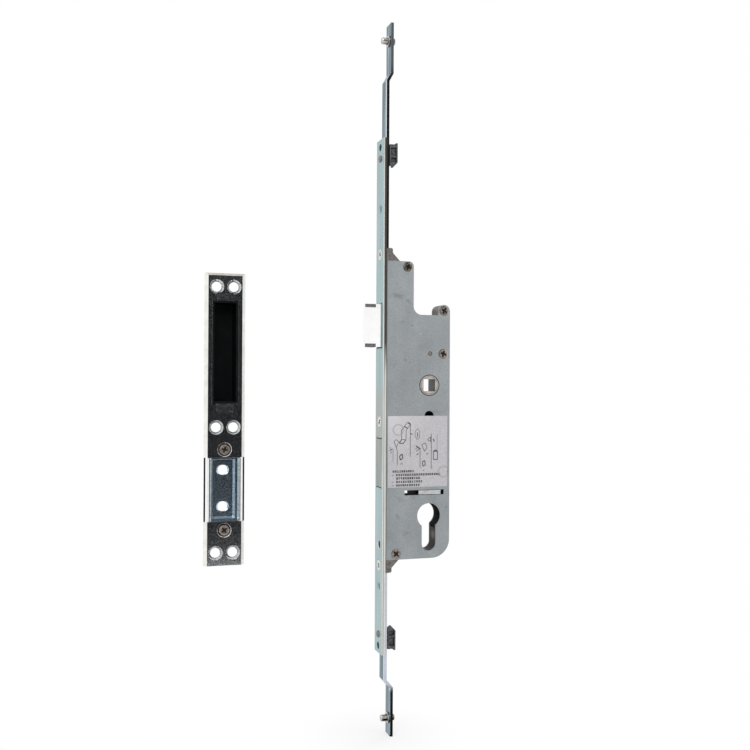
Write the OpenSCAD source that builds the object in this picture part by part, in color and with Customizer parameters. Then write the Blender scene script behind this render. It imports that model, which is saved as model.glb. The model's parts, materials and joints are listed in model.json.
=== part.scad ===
// Multipoint door lock for a narrow door stile, with its strike standing beside it.
// The origin is on the spindle axis, halfway through the case. +Z is up, -X points out of the
// door's edge, and the screwed cover faces -Y. All sizes are in millimetres.

/* [Lock layout] */
// Front of the faceplate to the spindle axis
backset = 35; // [34:0.5:40]
// Spindle axis down to the axis of the key cylinder
centres = 92; // [92:0.5:96]
// Spindle axis up to the middle of the latch bolt
latch_z = 41.5; // [41:0.25:42.5]
// Spindle axis down to the middle of the deadbolt
deadbolt_z = 54.5; // [54:0.25:56]

/* [Faceplate] */
// Width of the faceplate
faceplate_w = 16; // [15:0.5:20]
// Thickness of the faceplate
faceplate_t = 2.5; // [2:0.1:3]
// Spindle axis up to the faceplate's upper end
faceplate_up = 172.5; // [172:0.5:200]
// Spindle axis down to the faceplate's lower end
faceplate_down = 187.5; // [186:1:195]
// Radius of the holes for the door screws
fixing_r = 2.4; // [2:0.1:2.6]
// Height of the upper door screw above the spindle
upper_fixing_z = 123.6; // [118:0.5:130]
// Depth of the lower door screw below the spindle
lower_fixing_z = 141; // [140:0.5:148]
// Radius of the holes at the very ends
end_hole_r = 2.5; // [2:0.1:2.6]
// Upper end of the faceplate to its end hole
upper_hole_in = 5.5; // [5:0.25:7]
// Lower end of the faceplate to its end hole
lower_hole_in = 5; // [5:0.25:7]
// End hole to the rivet of the guide block
rivet_pitch = 8; // [7.5:0.25:9]
// Radius of the hole for the cylinder's retaining screw
cylinder_screw_r = 2.75; // [2.5:0.05:3]
// Cylinder axis down to its retaining screw
cylinder_screw_drop = 19.8; // [18:0.1:20.5]
// Head radius of the faceplate screws
faceplate_screw_head_r = 4; // [3.4:0.1:4.5]
// Shank radius of the faceplate screws
faceplate_screw_r = 2; // [1.5:0.1:2.2]

/* [Case] */
// Thickness of the case over both plates
case_t = 13.5; // [13.4:0.1:15]
// Thickness of the case plates
sheet_t = 1.2; // [1:0.05:1.3]
// Spindle axis up to the top of the case
case_up = 87; // [86.5:0.25:90]
// Spindle axis down to the bottom of the case
case_down = 122; // [121.5:0.25:128]
// Spindle axis to the closed edge of the case
case_rear = 15.5; // [15:0.25:20]
// Spindle axis to the closed edge of the neck, measured towards the faceplate
neck_edge = 12; // [11:0.25:12]
// Height of the shelf beside the neck
shelf_z = 49.7; // [49.5:0.1:50.5]
// Fillet between neck and shelf
neck_fillet = 6; // [3:0.5:7]
// Radius of the lower rear corner of the case
rear_corner_r = 13; // [8:0.5:15]
// Radius of the top corner of the neck
neck_corner_r = 3.5; // [2:0.25:5]
// Radius of the raised lobe round a cover screw
lobe_r = 4.3; // [4.1:0.1:4.5]
// Head radius of the cover screws
cover_screw_head_r = 3.65; // [3:0.05:3.8]
// Shank radius of the cover screws
cover_screw_r = 1.95; // [1.5:0.05:2]
// Radius of the round hole below the spindle
handle_hole_r = 3.5; // [3:0.1:3.8]
// Spindle axis down to this hole
handle_hole_z = 21.6; // [21:0.1:23]
// Length of the long slot above the cylinder
guide_slot_l = 29.4; // [28.6:0.1:30]
// Height of this slot
guide_slot_h = 3.5; // [3.2:0.1:4]
// Spindle axis down to this slot
guide_slot_z = 75.55; // [75.3:0.05:75.8]

// Height of the label on the cover
label_h = 50; // [40:0.5:52]
// Case edge to the label
label_edge = 1.8; // [1:0.1:4]
// Thickness of the label
label_t = 0.15; // [0.1:0.05:0.2]

/* [Cylinder hole] */
// Radius of the round part of the cylinder hole
cylinder_r = 8.7; // [8.6:0.05:8.8]
// Width of its stem
stem_w = 10.4; // [10.2:0.1:10.8]
// Height of the whole cylinder hole
cylinder_h = 33.5; // [33.2:0.1:34]
// Sweep of the cylinder's cam, kept free
cam_r = 15.6; // [15:0.1:15.6]
// Wall of the cast lining round the stem
cradle_wall = 1.8; // [1.2:0.1:2.5]

/* [Follower] */
// Across the flats of the spindle's square hole
spindle_square = 8.6; // [8:0.1:9]
// Radius of the follower's journal
hub_r = 7.5; // [7:0.1:7.8]
// Radius of the follower's shoulder inside the case
shoulder_r = 8.8; // [8.2:0.1:9]
// Spindle axis to the drive pin
drive_arm = 20; // [19.6:0.1:20.2]
// Half of the follower's lift, in degrees
half_lift = 20; // [18:0.5:20]
// Radius of the drive pin
drive_pin_r = 2; // [1.6:0.1:2.2]

/* [Drive] */
// Thickness of the drive rods
rod_t = 2; // [1.8:0.1:2.1]
// Spindle axis up to the tip of the upper rod
upper_tip_z = 254.3; // [250:0.5:300]
// Spindle axis down to the tip of the lower rod
lower_tip_z = 245.5; // [240:0.5:300]
// Height at which the upper rod starts to crank
upper_crank_z = 213.5; // [205:0.5:216]
// Depth at which the lower rod starts to crank
lower_crank_z = 206.5; // [206:0.5:208]
// Height of a crank along the rod
crank_h = 5.5; // [4:0.25:8]
// How far the upper crank sets the tip back
upper_crank_set = 3; // [2:0.1:5]
// How far the lower crank sets the tip back
lower_crank_set = 4.6; // [2:0.1:5]
// Tip of a rod to its pin
tip_to_pin = 11.8; // [9:0.1:14]
// Radius of the rods' pins
rod_pin_r = 2.4; // [2:0.05:2.5]
// Length of these pins in front of the rod
rod_pin_l = 5.4; // [4:0.1:8]
// Length of these pins behind the rod
rod_pin_head = 2.6; // [1:0.1:3.5]
// Thickness of the drive slides
slide_t = 1.7; // [1.5:0.05:1.75]
// Pitch radius of the reversing pinion
pinion_r = 4.5; // [4.4:0.05:4.6]
// Number of teeth of the reversing pinion
pinion_teeth = 10; // [10:2:12]
// Pressure angle of the teeth
pressure_angle = 25; // [24:0.5:27]
// Spindle axis down to the pinion's axle
pinion_z = 18; // [17.8:0.05:18.2]
// Radius of the pinion's axle
axle_r = 2; // [1.5:0.1:2.2]

/* [Bolts] */
// Thickness of the latch and the deadbolt
bolt_t = 10; // [9.4:0.1:10]
// Height of the latch bolt
latch_h = 30; // [28:0.25:30.5]
// How far the latch stands out
latch_out = 13; // [12:0.1:13]
// Flat width of the latch's nose
latch_nose = 2.5; // [1.5:0.1:4]
// Length of the latch's bevel
latch_bevel = 9.5; // [8:0.1:10]
// Height of the dark pads in the latch
pad_h = 2.4; // [1.5:0.1:4]
// Height of the deadbolt
deadbolt_h = 33.7; // [30:0.1:33.8]
// How far the key throws the deadbolt
deadbolt_out = 10.5; // [8:0.1:10.8]
// Length of the bright guide in the long slot
guide_l = 16.6; // [15:0.1:17.5]
// Height of the latch lever's pivot above the spindle
lever_z = 22.4; // [22.2:0.1:23]
// Spindle axis to this pivot
lever_x = 0.5; // [0:0.1:0.6]
// Radius of this pivot
lever_pin_r = 1.5; // [1.2:0.1:1.6]

/* [Strike] */
// Spindle axis to the middle of the strike
strike_x = 144.3; // [100:1:200]
// Spindle axis up to the strike's upper end
strike_up = 73.8; // [60:1:100]
// Width of the strike
strike_w = 27; // [26.8:0.1:30]
// Length of the strike
strike_l = 193.3; // [192:0.5:200]
// Thickness of the strike's sheet
strike_t = 2; // [1.6:0.1:2.2]
// Depth of the strike's turned-back edges
strike_d = 4.2; // [4:0.1:5]
// Bevel along its edges
strike_bevel = 2.2; // [1.5:0.1:2.4]
// Radius of the strike's screw holes
strike_hole_r = 3.2; // [2.4:0.1:3.3]
// Spacing of the screw holes across the strike
strike_hole_x = 11.4; // [11:0.1:11.6]
// Upper end of the strike to the first row of screws
row_1 = 9; // [8:0.25:9.5]
// First row to the middle row
row_2 = 93.1; // [92.5:0.1:94]
// First row to the last row
row_3 = 175.9; // [174:0.5:177]
// Upper end of the strike to its deadbolt opening
opening_from = 18.3; // [18:0.1:19]
// Length of the deadbolt opening
opening_l = 68.1; // [66:0.1:68.5]
// Width of the deadbolt opening
opening_w = 17.4; // [14:0.1:18]
// Depth of the dust box behind the strike
dust_box_d = 18; // [10:0.5:25]
// Wall of the dust box
dust_box_wall = 1.4; // [1:0.1:1.6]
// Upper end of the strike to the latch keep's window
keep_from = 122; // [121.8:0.1:122.4]
// Length of the latch keep's window
keep_l = 42.4; // [42:0.1:42.6]
// Width of the latch keep
keep_w = 21.4; // [20:0.1:21.6]
// Width of the keep's pocket
pocket_w = 14.8; // [14:0.1:16.4]
// Length of the keep's pocket
pocket_l = 39; // [36:0.1:39.4]
// Depth of the keep's pocket
pocket_d = 5; // [3:0.1:7]
// Slope of the pocket's walls, measured across
pocket_slope = 0.7; // [0.5:0.1:3]
// How far the pocket lies above the middle of its window
pocket_up = 0.5; // [0:0.1:0.6]
// How far the pocket lies beside the middle of the keep, away from the lock
pocket_aside = 0.5; // [0:0.1:0.6]
// How far the keep can be set to either side
keep_travel = 0.8; // [0.4:0.1:0.9]
// Distance between the keep's two screw holes
keep_holes = 24.2; // [20:0.1:26]
// Radius of these two holes
keep_hole_r = 3.3; // [2:0.1:3.4]

/* [Clearances] */
// Around parts that are pressed or screwed together
fit = 0.05; // [0.02:0.01:0.1]
// Around shafts that turn
run = 0.08; // [0.03:0.01:0.1]
// Between parts that slide past each other
gap = 0.3; // [0.3:0.01:0.35]

/* [Hidden] */
eps = 0.01;

// Planes of the lock, from the door's edge inwards
front_x = -backset;
plate_x = front_x + faceplate_t;
rod_x = plate_x + gap;
rod_back_x = rod_x + rod_t;
half_t = case_t / 2;
inner_y = half_t - sheet_t;
rod_w = 2 * (inner_y - gap);
neck_x = -neck_edge;

// Planes of the three layers inside the case
layer_y = inner_y - gap - 0.05;
slide_y = layer_y - slide_t;
middle_y = slide_y - gap;

// Travel of the drive and turn of the pinion
drive_travel = 2 * drive_arm * sin(half_lift);
drive_pin_x = -drive_arm * cos(half_lift);
drive_pin_z = drive_arm * sin(half_lift);

// The lower slide keeps clear of the cam, the upper slide keeps clear of the neck's wall
lower_bar_x1 = -cam_r - 2 * gap;
lower_bar_w = 3.2;
lower_bar_x0 = lower_bar_x1 - lower_bar_w;
upper_bar_x1 = neck_x - sheet_t - gap - 0.2;
upper_bar_w = 5.2;
upper_bar_x0 = upper_bar_x1 - upper_bar_w;
tooth_m = 2 * pinion_r / pinion_teeth;
tooth_p = PI * tooth_m;
addendum = 0.8 * tooth_m;
dedendum = 1.1 * tooth_m;
backlash = 0.15;
lower_pitch_x = lower_bar_x0 + dedendum;
pinion_x = lower_pitch_x - pinion_r;
upper_pitch_x = pinion_x - pinion_r;

// Rest places of the drive
lower_rack_z = [-pinion_z - 4, -pinion_z + drive_travel + 4];
upper_rack_z = [-pinion_z - drive_travel - 4, -pinion_z + 4];
pinion_top = -pinion_z + pinion_r + addendum;
notch_z = [pinion_top + 0.4 + drive_travel, drive_pin_z + drive_pin_r + gap + 3.2];
jog_z = [pinion_top + 12.6, latch_z - latch_h / 2 - 2 * gap - drive_travel];
latch_top = latch_z + latch_h / 2;
latch_bottom = latch_z - latch_h / 2;
deadbolt_top = -deadbolt_z + deadbolt_h / 2;
deadbolt_bottom = -deadbolt_z - deadbolt_h / 2;
upper_foot_z = [latch_top + 0.7, latch_top + 8];
lower_foot_z = [deadbolt_bottom - 12.6, deadbolt_bottom - 4.6];
foot_edge = 1.2;
cylinder_screw_z = centres + cylinder_screw_drop;

// Openings of the faceplate
bolt_gap = 0.6;
upper_hole_z = faceplate_up - upper_hole_in;
lower_hole_z = -faceplate_down + lower_hole_in;
upper_rivet_z = upper_hole_z - rivet_pitch;
lower_rivet_z = lower_hole_z + rivet_pitch;
rivet_r = 2;
rivet_head_r = 2.6;
rivet_head_h = 1.3;
guide_depth = 5.9;
slot_side = 0.4;

// End blocks, with their screws
end_block_h = 8.8;
end_block_depth = 5;
end_block_base = 10.2;
end_block_step = 3.3;
tail_h = 7.5;
tail_x0 = rod_back_x + gap;
top_screw_z = case_up + 4.7;
bottom_screw_z = -case_down - 4.4;
centre_screw_z = -25.7;
centre_block_x1 = plate_x + 3.6;

// Cover screws: [x, z] of those in blocks, then of those in posts
block_screws = [[neck_x - 4.3, case_up - 4], [plate_x + 8.3, -case_down + 4]];
post_screws = [[case_rear - lobe_r - 0.15, shelf_z + 3.2], [case_rear - 5, 22.3],
               [lower_bar_x0 - 3.7, -31.3], [case_rear - 4.5, -61.1]];
post_r = lobe_r - sheet_t - gap;
cover_screw_l = 9;
post_spigot_r = 2.3;

// Latch, measured along X
nose_x = front_x - latch_out;
latch_head_l = backset + upper_bar_x0 - 0.8;
latch_back_x = nose_x + latch_head_l;
latch_body_x1 = latch_back_x + 9;
latch_body_h = [latch_z - 13, shelf_z - sheet_t - gap];
lever_arm = 21.15;
lever_half = asin(latch_out / 2 / lever_arm);
lever_tip = [lever_x - lever_arm * sin(lever_half), lever_z + lever_arm * cos(lever_half)];
lever_tip_r = 2.5;
lever_bar_w = 4.4;
lever_toe = [lever_x - 8.5, lever_z - 5.65];
lever_y = 0;
tail_y = [lever_y + gap, middle_y + 0.4];
spring_z = latch_z - 8.5;
spring_y = 1;
spring_bore_r = 3.4;
spring_bore_x = nose_x + 8;
stop_x = [neck_x + 3, neck_x + 5];
latch_wire = 0.45;
latch_coil_r = 2.5;
latch_turns = 9;

// Follower's stub for its spring
stub_l = shoulder_r + 1.6;
stub_r = 2;

// Follower's nose that lifts the latch lever's toe
nose_arm = [lever_toe[0] + 0.5, lever_toe[1] - 4.73];
nose_r = 2.2;

// Deadbolt and its tail
bolt_head_l = backset + lower_bar_x0 - 0.6;
tail_t = 5;
tail_x1 = case_rear - sheet_t - 2.6;
tail_left = -16.7;
tail_step = 3.6;
tail_z = [-79, -66.2];
tooth_z = -84;
cam_half_gap = 7;
tongue_x = front_x + 8.5;
tongue_z = [deadbolt_bottom + 4, -57];
guide_x = -7.7;
tail_rivet_r = 1.5;

// Springs that bend
hair_wire = 0.4;
drag_t = 0.5;

// Strike
strike_y = -half_t;
strike_z = strike_up;
keep_z = [strike_z - keep_from - keep_l, strike_z - keep_from];
keep_mid_z = (keep_z[0] + keep_z[1]) / 2;
keep_ear = 9.8;
keep_ear_t = 2;
keep_screw_z = [keep_z[1] + 5.2, keep_z[0] - 5.7];
keep_screw_r = 2;
keep_screw_head_r = 3.6;
side_strip_t = 1.2;
strike_end_bevel = 1.6;
lip_w = 2.9;
lip_h = 1.7;
lip_out = 0.9;
keep_hole_wide = 0.85;
tab_w = 10.8;
tab_h = 5.5;
tab_t = 0.8;

// A flat outline in X and Z, given thickness from y0 to y1
module slab(y0, y1) {
    translate([0, y1, 0]) rotate([90, 0, 0]) linear_extrude(height = y1 - y0) children();
}

// A round bar along Y
module round_y(x, z, r, y0, y1, sides = 48) {
    translate([x, y1, z]) rotate([90, 0, 0]) cylinder(r = r, h = y1 - y0, $fn = sides);
}

// A round bar along X
module round_x(y, z, r, x0, x1, sides = 48) {
    translate([x0, y, z]) rotate([0, 90, 0]) cylinder(r = r, h = x1 - x0, $fn = sides);
}

// A block between two corners
module block(a, b) {
    translate(a) cube([b[0] - a[0], b[1] - a[1], b[2] - a[2]]);
}

// A flat rectangle between two corners
module patch(a, b) {
    translate(a) square([b[0] - a[0], b[1] - a[1]]);
}

// A flat bar with round ends
module link(a, b, w) {
    span = norm(b - a);
    turn = atan2(b[1] - a[1], b[0] - a[0]);
    translate(a) rotate(turn) translate([0, -w / 2]) square([span, w]);
    translate(a) circle(r = w / 2, $fn = 48);
    translate(b) circle(r = w / 2, $fn = 48);
}

// A slot through a rod, along Z, from one screw or rivet to where it is when the rod has moved
module rod_slot(z0, z1, r, x0, x1) {
    hull_w = 2 * (r + slot_side);
    block([x0, -hull_w / 2, z0], [x1, hull_w / 2, z1]);
    round_x(0, z0, hull_w / 2, x0, x1);
    round_x(0, z1, hull_w / 2, x0, x1);
}

// A cross recess sunk into a screw's head at the origin, facing -Y
module cross_recess(r) {
    for (turn = [0, 90]) rotate([0, turn, 0]) translate([-r, -1, -0.55]) cube([2 * r, 2.2, 1.1]);
}

// A countersunk screw along +Y, its head's face at the origin
module countersunk(head_r, shank_r, l, recess) {
    head_h = head_r - shank_r;
    difference() {
        union() {
            rotate([-90, 0, 0]) cylinder(r1 = head_r, r2 = shank_r, h = head_h, $fn = 48);
            rotate([-90, 0, 0]) cylinder(r = shank_r, h = l, $fn = 48);
        }
        cross_recess(recess);
    }
}

// The countersunk hole for such a screw
module countersink(head_r, shank_r, l) {
    head_h = head_r - shank_r;
    translate([0, -eps, 0]) rotate([-90, 0, 0])
        cylinder(r1 = head_r + fit + eps, r2 = shank_r + fit, h = head_h + eps, $fn = 48);
    translate([0, -eps, 0]) rotate([-90, 0, 0])
        cylinder(r = shank_r + fit, h = l, $fn = 48);
}

// Points of a tube of radius r swept along a path, in rings of n sides
function unit(v) = v / norm(v);
function heading(path, i) = unit(path[min(i + 1, len(path) - 1)] - path[max(i - 1, 0)]);
function ring(path, i, r, n, up) =
    let (t = heading(path, i), a = unit(cross(up, t)), b = cross(t, a))
    [for (k = [0 : n - 1]) path[i] + r * (cos(360 * k / n) * a + sin(360 * k / n) * b)];

module swept(path, r, n, up) {
    rings = len(path);
    points = [for (i = [0 : rings - 1]) each ring(path, i, r, n, up)];
    sides = [for (i = [0 : rings - 2]) for (k = [0 : n - 1])
        let (j = (k + 1) % n, a = i * n + k, b = i * n + j, c = (i + 1) * n + j, d = (i + 1) * n + k)
        each [[a, d, b], [b, d, c]]];
    first = [for (k = [1 : n - 2]) [0, k, k + 1]];
    last = [for (k = [1 : n - 2]) [(rings - 1) * n, (rings - 1) * n + k + 1, (rings - 1) * n + k]];
    polyhedron(points = points, faces = concat(sides, first, last), convexity = 10);
}

// Outline of the case, drawn in by a wall g, with the faceplate side left straight
module case_outline(g = 0) {
    right = case_rear - g;
    bottom = -case_down + g;
    lobe = post_screws[0];
    corner = rear_corner_r - g;
    neck = neck_x - g;
    patch([plate_x, bottom], [right - corner, shelf_z - g]);
    patch([plate_x, bottom + corner], [right, shelf_z - g]);
    translate([right - corner, bottom + corner]) circle(r = corner, $fn = 96);
    translate(lobe) circle(r = lobe_r - g, $fn = 64);
    patch([lobe[0] - lobe_r + g, 0], [right, lobe[1]]);
    patch([plate_x, 0], [neck - neck_corner_r + g, case_up - g]);
    patch([plate_x, 0], [neck, case_up - neck_corner_r]);
    translate([neck_x - neck_corner_r, case_up - neck_corner_r])
        circle(r = neck_corner_r - g, $fn = 48);
    difference() {
        patch([neck - eps, shelf_z - g - eps], [neck_x + neck_fillet, shelf_z + neck_fillet]);
        translate([neck_x + neck_fillet, shelf_z + neck_fillet])
            circle(r = neck_fillet + g, $fn = 64);
    }
}

// Outline of the cylinder hole, grown by g
module cylinder_outline(g = 0) {
    foot = -centres + cylinder_r - cylinder_h;
    translate([0, -centres]) circle(r = cylinder_r + g, $fn = 96);
    patch([-stem_w / 2 - g, foot + stem_w / 2], [stem_w / 2 + g, -centres]);
    translate([0, foot + stem_w / 2]) circle(r = stem_w / 2 + g, $fn = 64);
}

// Holes that both case plates share: hub, slot, cylinder and the lever's pivot
module plate_holes() {
    circle(r = hub_r + run, $fn = 96);
    patch([guide_x - deadbolt_out, -guide_slot_z - guide_slot_h / 2],
          [guide_x - deadbolt_out + guide_slot_l, -guide_slot_z + guide_slot_h / 2]);
    cylinder_outline();
    translate([lever_x, lever_z]) circle(r = lever_pin_r, $fn = 48);
}

// Faceplate: flat steel bar with its bolt openings and screw holes
module faceplate() {
    half_w = faceplate_w / 2;
    opening = bolt_t / 2 + gap;
    color("lightsteelblue") difference() {
        block([front_x, -half_w, -faceplate_down], [plate_x, half_w, faceplate_up]);
        for (span = [[latch_bottom - bolt_gap, latch_top + bolt_gap],
                     [deadbolt_bottom - bolt_gap, deadbolt_top + bolt_gap]]) {
            block([front_x - 1, -opening, span[0]], [plate_x + 1, opening, span[1]]);
            for (y = [-opening, opening]) for (z = span)
                round_x(y - sign(y) * 0.4, z, 0.7, front_x - 1, plate_x + 1, 24);
        }
        for (z = [upper_fixing_z, -lower_fixing_z]) {
            round_x(0, z, fixing_r, front_x - 1, plate_x + 1);
            translate([front_x - eps, 0, z]) rotate([0, 90, 0])
                cylinder(r1 = fixing_r + 1, r2 = fixing_r, h = 1, $fn = 48);
        }
        round_x(0, -cylinder_screw_z, cylinder_screw_r, front_x - 1, plate_x + 1);
        translate([front_x - eps, 0, -cylinder_screw_z]) rotate([0, 90, 0])
            cylinder(r1 = cylinder_screw_r + 0.8, r2 = cylinder_screw_r, h = 0.8, $fn = 48);
        for (z = [upper_hole_z, lower_hole_z]) round_x(0, z, end_hole_r, front_x - 1, plate_x + 1);
        for (z = [upper_rivet_z, lower_rivet_z])
            round_x(0, z, rivet_r + fit, front_x - 1, plate_x + 1);
        for (z = [top_screw_z, centre_screw_z, bottom_screw_z])
            translate([front_x, 0, z]) rotate([0, 0, -90])
                countersink(faceplate_screw_head_r, faceplate_screw_r, faceplate_t + 1);
    }
}

// Case tray: back plate and rim, open towards the faceplate
module case_body() {
    color("slategray") difference() {
        slab(-inner_y, half_t) case_outline();
        slab(-inner_y - 1, inner_y) {
            case_outline(sheet_t);
            patch([plate_x - 1, -case_down + sheet_t], [plate_x + 1, case_up - sheet_t]);
            patch([plate_x - 1, case_up - 2], [plate_x + end_block_base, case_up + 1]);
            patch([plate_x - 1, -case_down - 1], [plate_x + end_block_base, -case_down + 2]);
        }
        slab(0, half_t + 1) plate_holes();
        round_y(pinion_x, -pinion_z, axle_r, 0, half_t + 1);
        for (p = post_screws) round_y(p[0], p[1], post_spigot_r, 0, half_t + 1);
    }
}

// Case cover: flat plate that closes the tray
module case_cover() {
    color("slategray") difference() {
        slab(-half_t, -inner_y) case_outline();
        slab(-half_t - 1, -inner_y + 1) {
            plate_holes();
            translate([0, -handle_hole_z]) circle(r = handle_hole_r, $fn = 64);
        }
        for (p = concat(block_screws, post_screws)) translate([p[0], -half_t, p[1]])
            countersink(cover_screw_head_r, cover_screw_r, sheet_t + 1);
    }
}

// Cover screws: six alike, two of them under the label
module cover_screws() {
    color("tan") for (p = concat(block_screws, post_screws)) translate([p[0], -half_t, p[1]])
        countersunk(cover_screw_head_r, cover_screw_r, cover_screw_l, 1.9);
}

// Spacer posts: riveted into the back plate, tapped for the cover screws
module spacer_posts() {
    color("silver") for (p = post_screws) difference() {
        union() {
            round_y(p[0], p[1], post_r, -inner_y, inner_y);
            round_y(p[0], p[1], post_spigot_r - fit, inner_y - eps, half_t);
        }
        translate([p[0], -half_t, p[1]])
            countersink(cover_screw_head_r, cover_screw_r, cover_screw_l + 0.5);
    }
}

// Outline of an end block, from its base up, drawn for the top of the case
module end_block_outline() {
    x1 = plate_x + end_block_depth;
    r = 1.2;
    polygon([[plate_x, 0], [plate_x + end_block_base, 0], [x1, end_block_h - end_block_step],
             [x1, end_block_h - r], [x1 - r, end_block_h], [plate_x, end_block_h]]);
    translate([x1 - r, end_block_h - r]) circle(r = r, $fn = 32);
}

// Outline of an end block's tail, its corner cut to clear the rounded corner of the neck
module tail_outline(tail_x1) {
    top = -sheet_t - fit;
    corner = 0.6 * neck_corner_r;
    polygon([[tail_x0, -tail_h], [tail_x1, -tail_h], [tail_x1, top - corner],
             [tail_x1 - corner, top], [tail_x0, top]]);
}

// End block: cast wedge outside the case, and a tail inside that takes a cover screw
module end_block(tail_x1, screw, screw_z) {
    half_w = half_t - 0.25;
    channel = rod_w / 2 + gap;
    difference() {
        union() {
            slab(-half_w, half_w) end_block_outline();
            slab(-inner_y + fit, inner_y - fit) {
                tail_outline(tail_x1);
                patch([tail_x0, -tail_h], [plate_x + end_block_base - fit, eps]);
            }
        }
        block([plate_x - 1, -channel, -tail_h - 1], [tail_x0, channel, end_block_h + 1]);
        translate([screw[0], -half_t, screw[1]])
            countersink(cover_screw_head_r, cover_screw_r, cover_screw_l + 0.5);
        round_x(0, screw_z, faceplate_screw_r + fit, plate_x - 1, plate_x + end_block_base + 1);
    }
}

// Top end block
module top_end_block() {
    screw = [block_screws[0][0], block_screws[0][1] - case_up];
    color("dimgray") translate([0, 0, case_up])
        end_block(neck_x - sheet_t - fit, screw, top_screw_z - case_up);
}

// Bottom end block
module bottom_end_block() {
    screw = [block_screws[1][0], -block_screws[1][1] - case_down];
    color("dimgray") translate([0, 0, -case_down]) mirror([0, 0, 1])
        end_block(block_screws[1][0] + 5, screw, -bottom_screw_z - case_down);
}

// Centre block: riveted to the back plate, takes the middle faceplate screw
module centre_block() {
    color("dimgray") difference() {
        block([plate_x, -middle_y, centre_screw_z - 4.3],
              [centre_block_x1, inner_y, centre_screw_z + 2.5]);
        round_x(0, centre_screw_z, faceplate_screw_r + fit, plate_x - 1, centre_block_x1 + 1);
    }
}

// Faceplate screws: three alike, into the end blocks and the centre block
module faceplate_screws() {
    color("tan") for (z = [top_screw_z, centre_screw_z, bottom_screw_z])
        translate([front_x, 0, z]) rotate([0, 0, -90])
            countersunk(faceplate_screw_head_r, faceplate_screw_r, faceplate_t + 3.4, 2);
}

// Guide block: cast piece behind the rod, with a boss through the rod's slot
module guide_block() {
    x0 = rod_back_x + gap;
    x1 = x0 + guide_depth;
    half_w = 5.6;
    ear_t = 1.4;
    notch = -13;
    far_end = -11.2;
    difference() {
        union() {
            slab(-half_w, half_w) polygon([[x0, notch], [x0 + 0.9, notch], [x0 + 1.3, -14.7],
                [x0 + 2.3, -14.7], [x1, -10.9], [x1, 2.7], [x1 - 1.3, 2.7], [x1 - 2.1, 1.7],
                [x0, 1.7]]);
            round_x(0, -rivet_pitch, rivet_r + 0.35, plate_x, x0 + 1);
        }
        round_x(0, -rivet_pitch, rivet_r + fit - 0.5, plate_x - 1, x1 + 1);
        round_x(0, 0, end_hole_r, x0 - 1, x1 + 1);
        block([x0 - 1, ear_t - half_w, notch - 3], [x1, half_w + 1, far_end]);
        for (y = [-half_w - 1, half_w - 1.2]) {
            block([x0 + 0.9, y, -6], [x1 - 0.9, y + 2.2, -0.6]);
            block([x0 + 0.9, y, -10.6], [x1 - 0.9, y + 2.2, -7.6]);
        }
    }
}

// Top guide block
module top_guide_block() {
    color("darkslategray") translate([0, 0, upper_hole_z]) guide_block();
}

// Bottom guide block
module bottom_guide_block() {
    color("darkslategray") translate([0, 0, lower_hole_z]) mirror([0, 0, 1]) guide_block();
}

// Guide rivets: hold the guide blocks to the faceplate
module guide_rivets() {
    color("gray") for (z = [upper_rivet_z, lower_rivet_z]) {
        translate([front_x, 0, z]) rotate([0, -90, 0])
            cylinder(r1 = rivet_head_r, r2 = rivet_head_r - 0.6, h = rivet_head_h, $fn = 48);
        round_x(0, z, rivet_r, front_x - eps, plate_x);
        round_x(0, z, rivet_r - 0.5, plate_x - eps, rod_back_x + gap + guide_depth + 0.2);
    }
}

// Cylinder cradle: cast lining round the stem of the cylinder hole
module cylinder_cradle() {
    top = -centres - cylinder_r - 0.3;
    color("dimgray") difference() {
        slab(-inner_y, inner_y) difference() {
            cylinder_outline(cradle_wall);
            cylinder_outline();
            patch([-30, top], [30, -centres + 30]);
        }
        round_x(0, -cylinder_screw_z, cylinder_screw_r, -stem_w, 0);
    }
}

// Label: plain sticker that covers the lower half of the round hole
module label() {
    color("gainsboro")
        block([plate_x + label_edge, -half_t - label_t, -handle_hole_z - label_h],
              [case_rear - label_edge, -half_t, -handle_hole_z]);
}

// Side view of a rod: straight, cranked back, straight to the tip
module rod_outline(start, crank, crank_set, tip) {
    lean = rod_t * tan(atan2(crank_set, crank_h) / 2);
    polygon([[rod_x, start], [rod_back_x, start], [rod_back_x, crank - lean],
             [rod_back_x + crank_set, crank + crank_h - lean], [rod_back_x + crank_set, tip],
             [rod_x + crank_set, tip], [rod_x + crank_set, crank + crank_h], [rod_x, crank]]);
}

// A slide's tongue, or the notch for it in the edge of its rod
module tongue(z0, z1, y0, y1, c) {
    block([rod_x - c, y0 - c, z0 - c], [rod_back_x + c, y1 + c, z1 + c]);
}

// Upper rod, drawn back at rest, with slots for the screws and the rivet
module upper_rod() {
    x0 = rod_x - 1;
    x1 = rod_back_x + 1;
    color("lightslategray") difference() {
        slab(-rod_w / 2, rod_w / 2)
            rod_outline(upper_foot_z[0], upper_crank_z, upper_crank_set, upper_tip_z);
        rod_slot(upper_rivet_z - drive_travel, upper_hole_z, end_hole_r, x0, x1);
        rod_slot(upper_fixing_z - drive_travel, upper_fixing_z, fixing_r, x0, x1);
        rod_slot(top_screw_z - drive_travel, top_screw_z, faceplate_screw_r, x0, x1);
        tongue(upper_foot_z[0] + foot_edge, upper_foot_z[1] - foot_edge, -rod_w, -slide_y, fit);
        round_x(0, upper_tip_z - tip_to_pin, rod_pin_r - 0.3 + fit, x0, x1 + upper_crank_set);
    }
}

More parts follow.
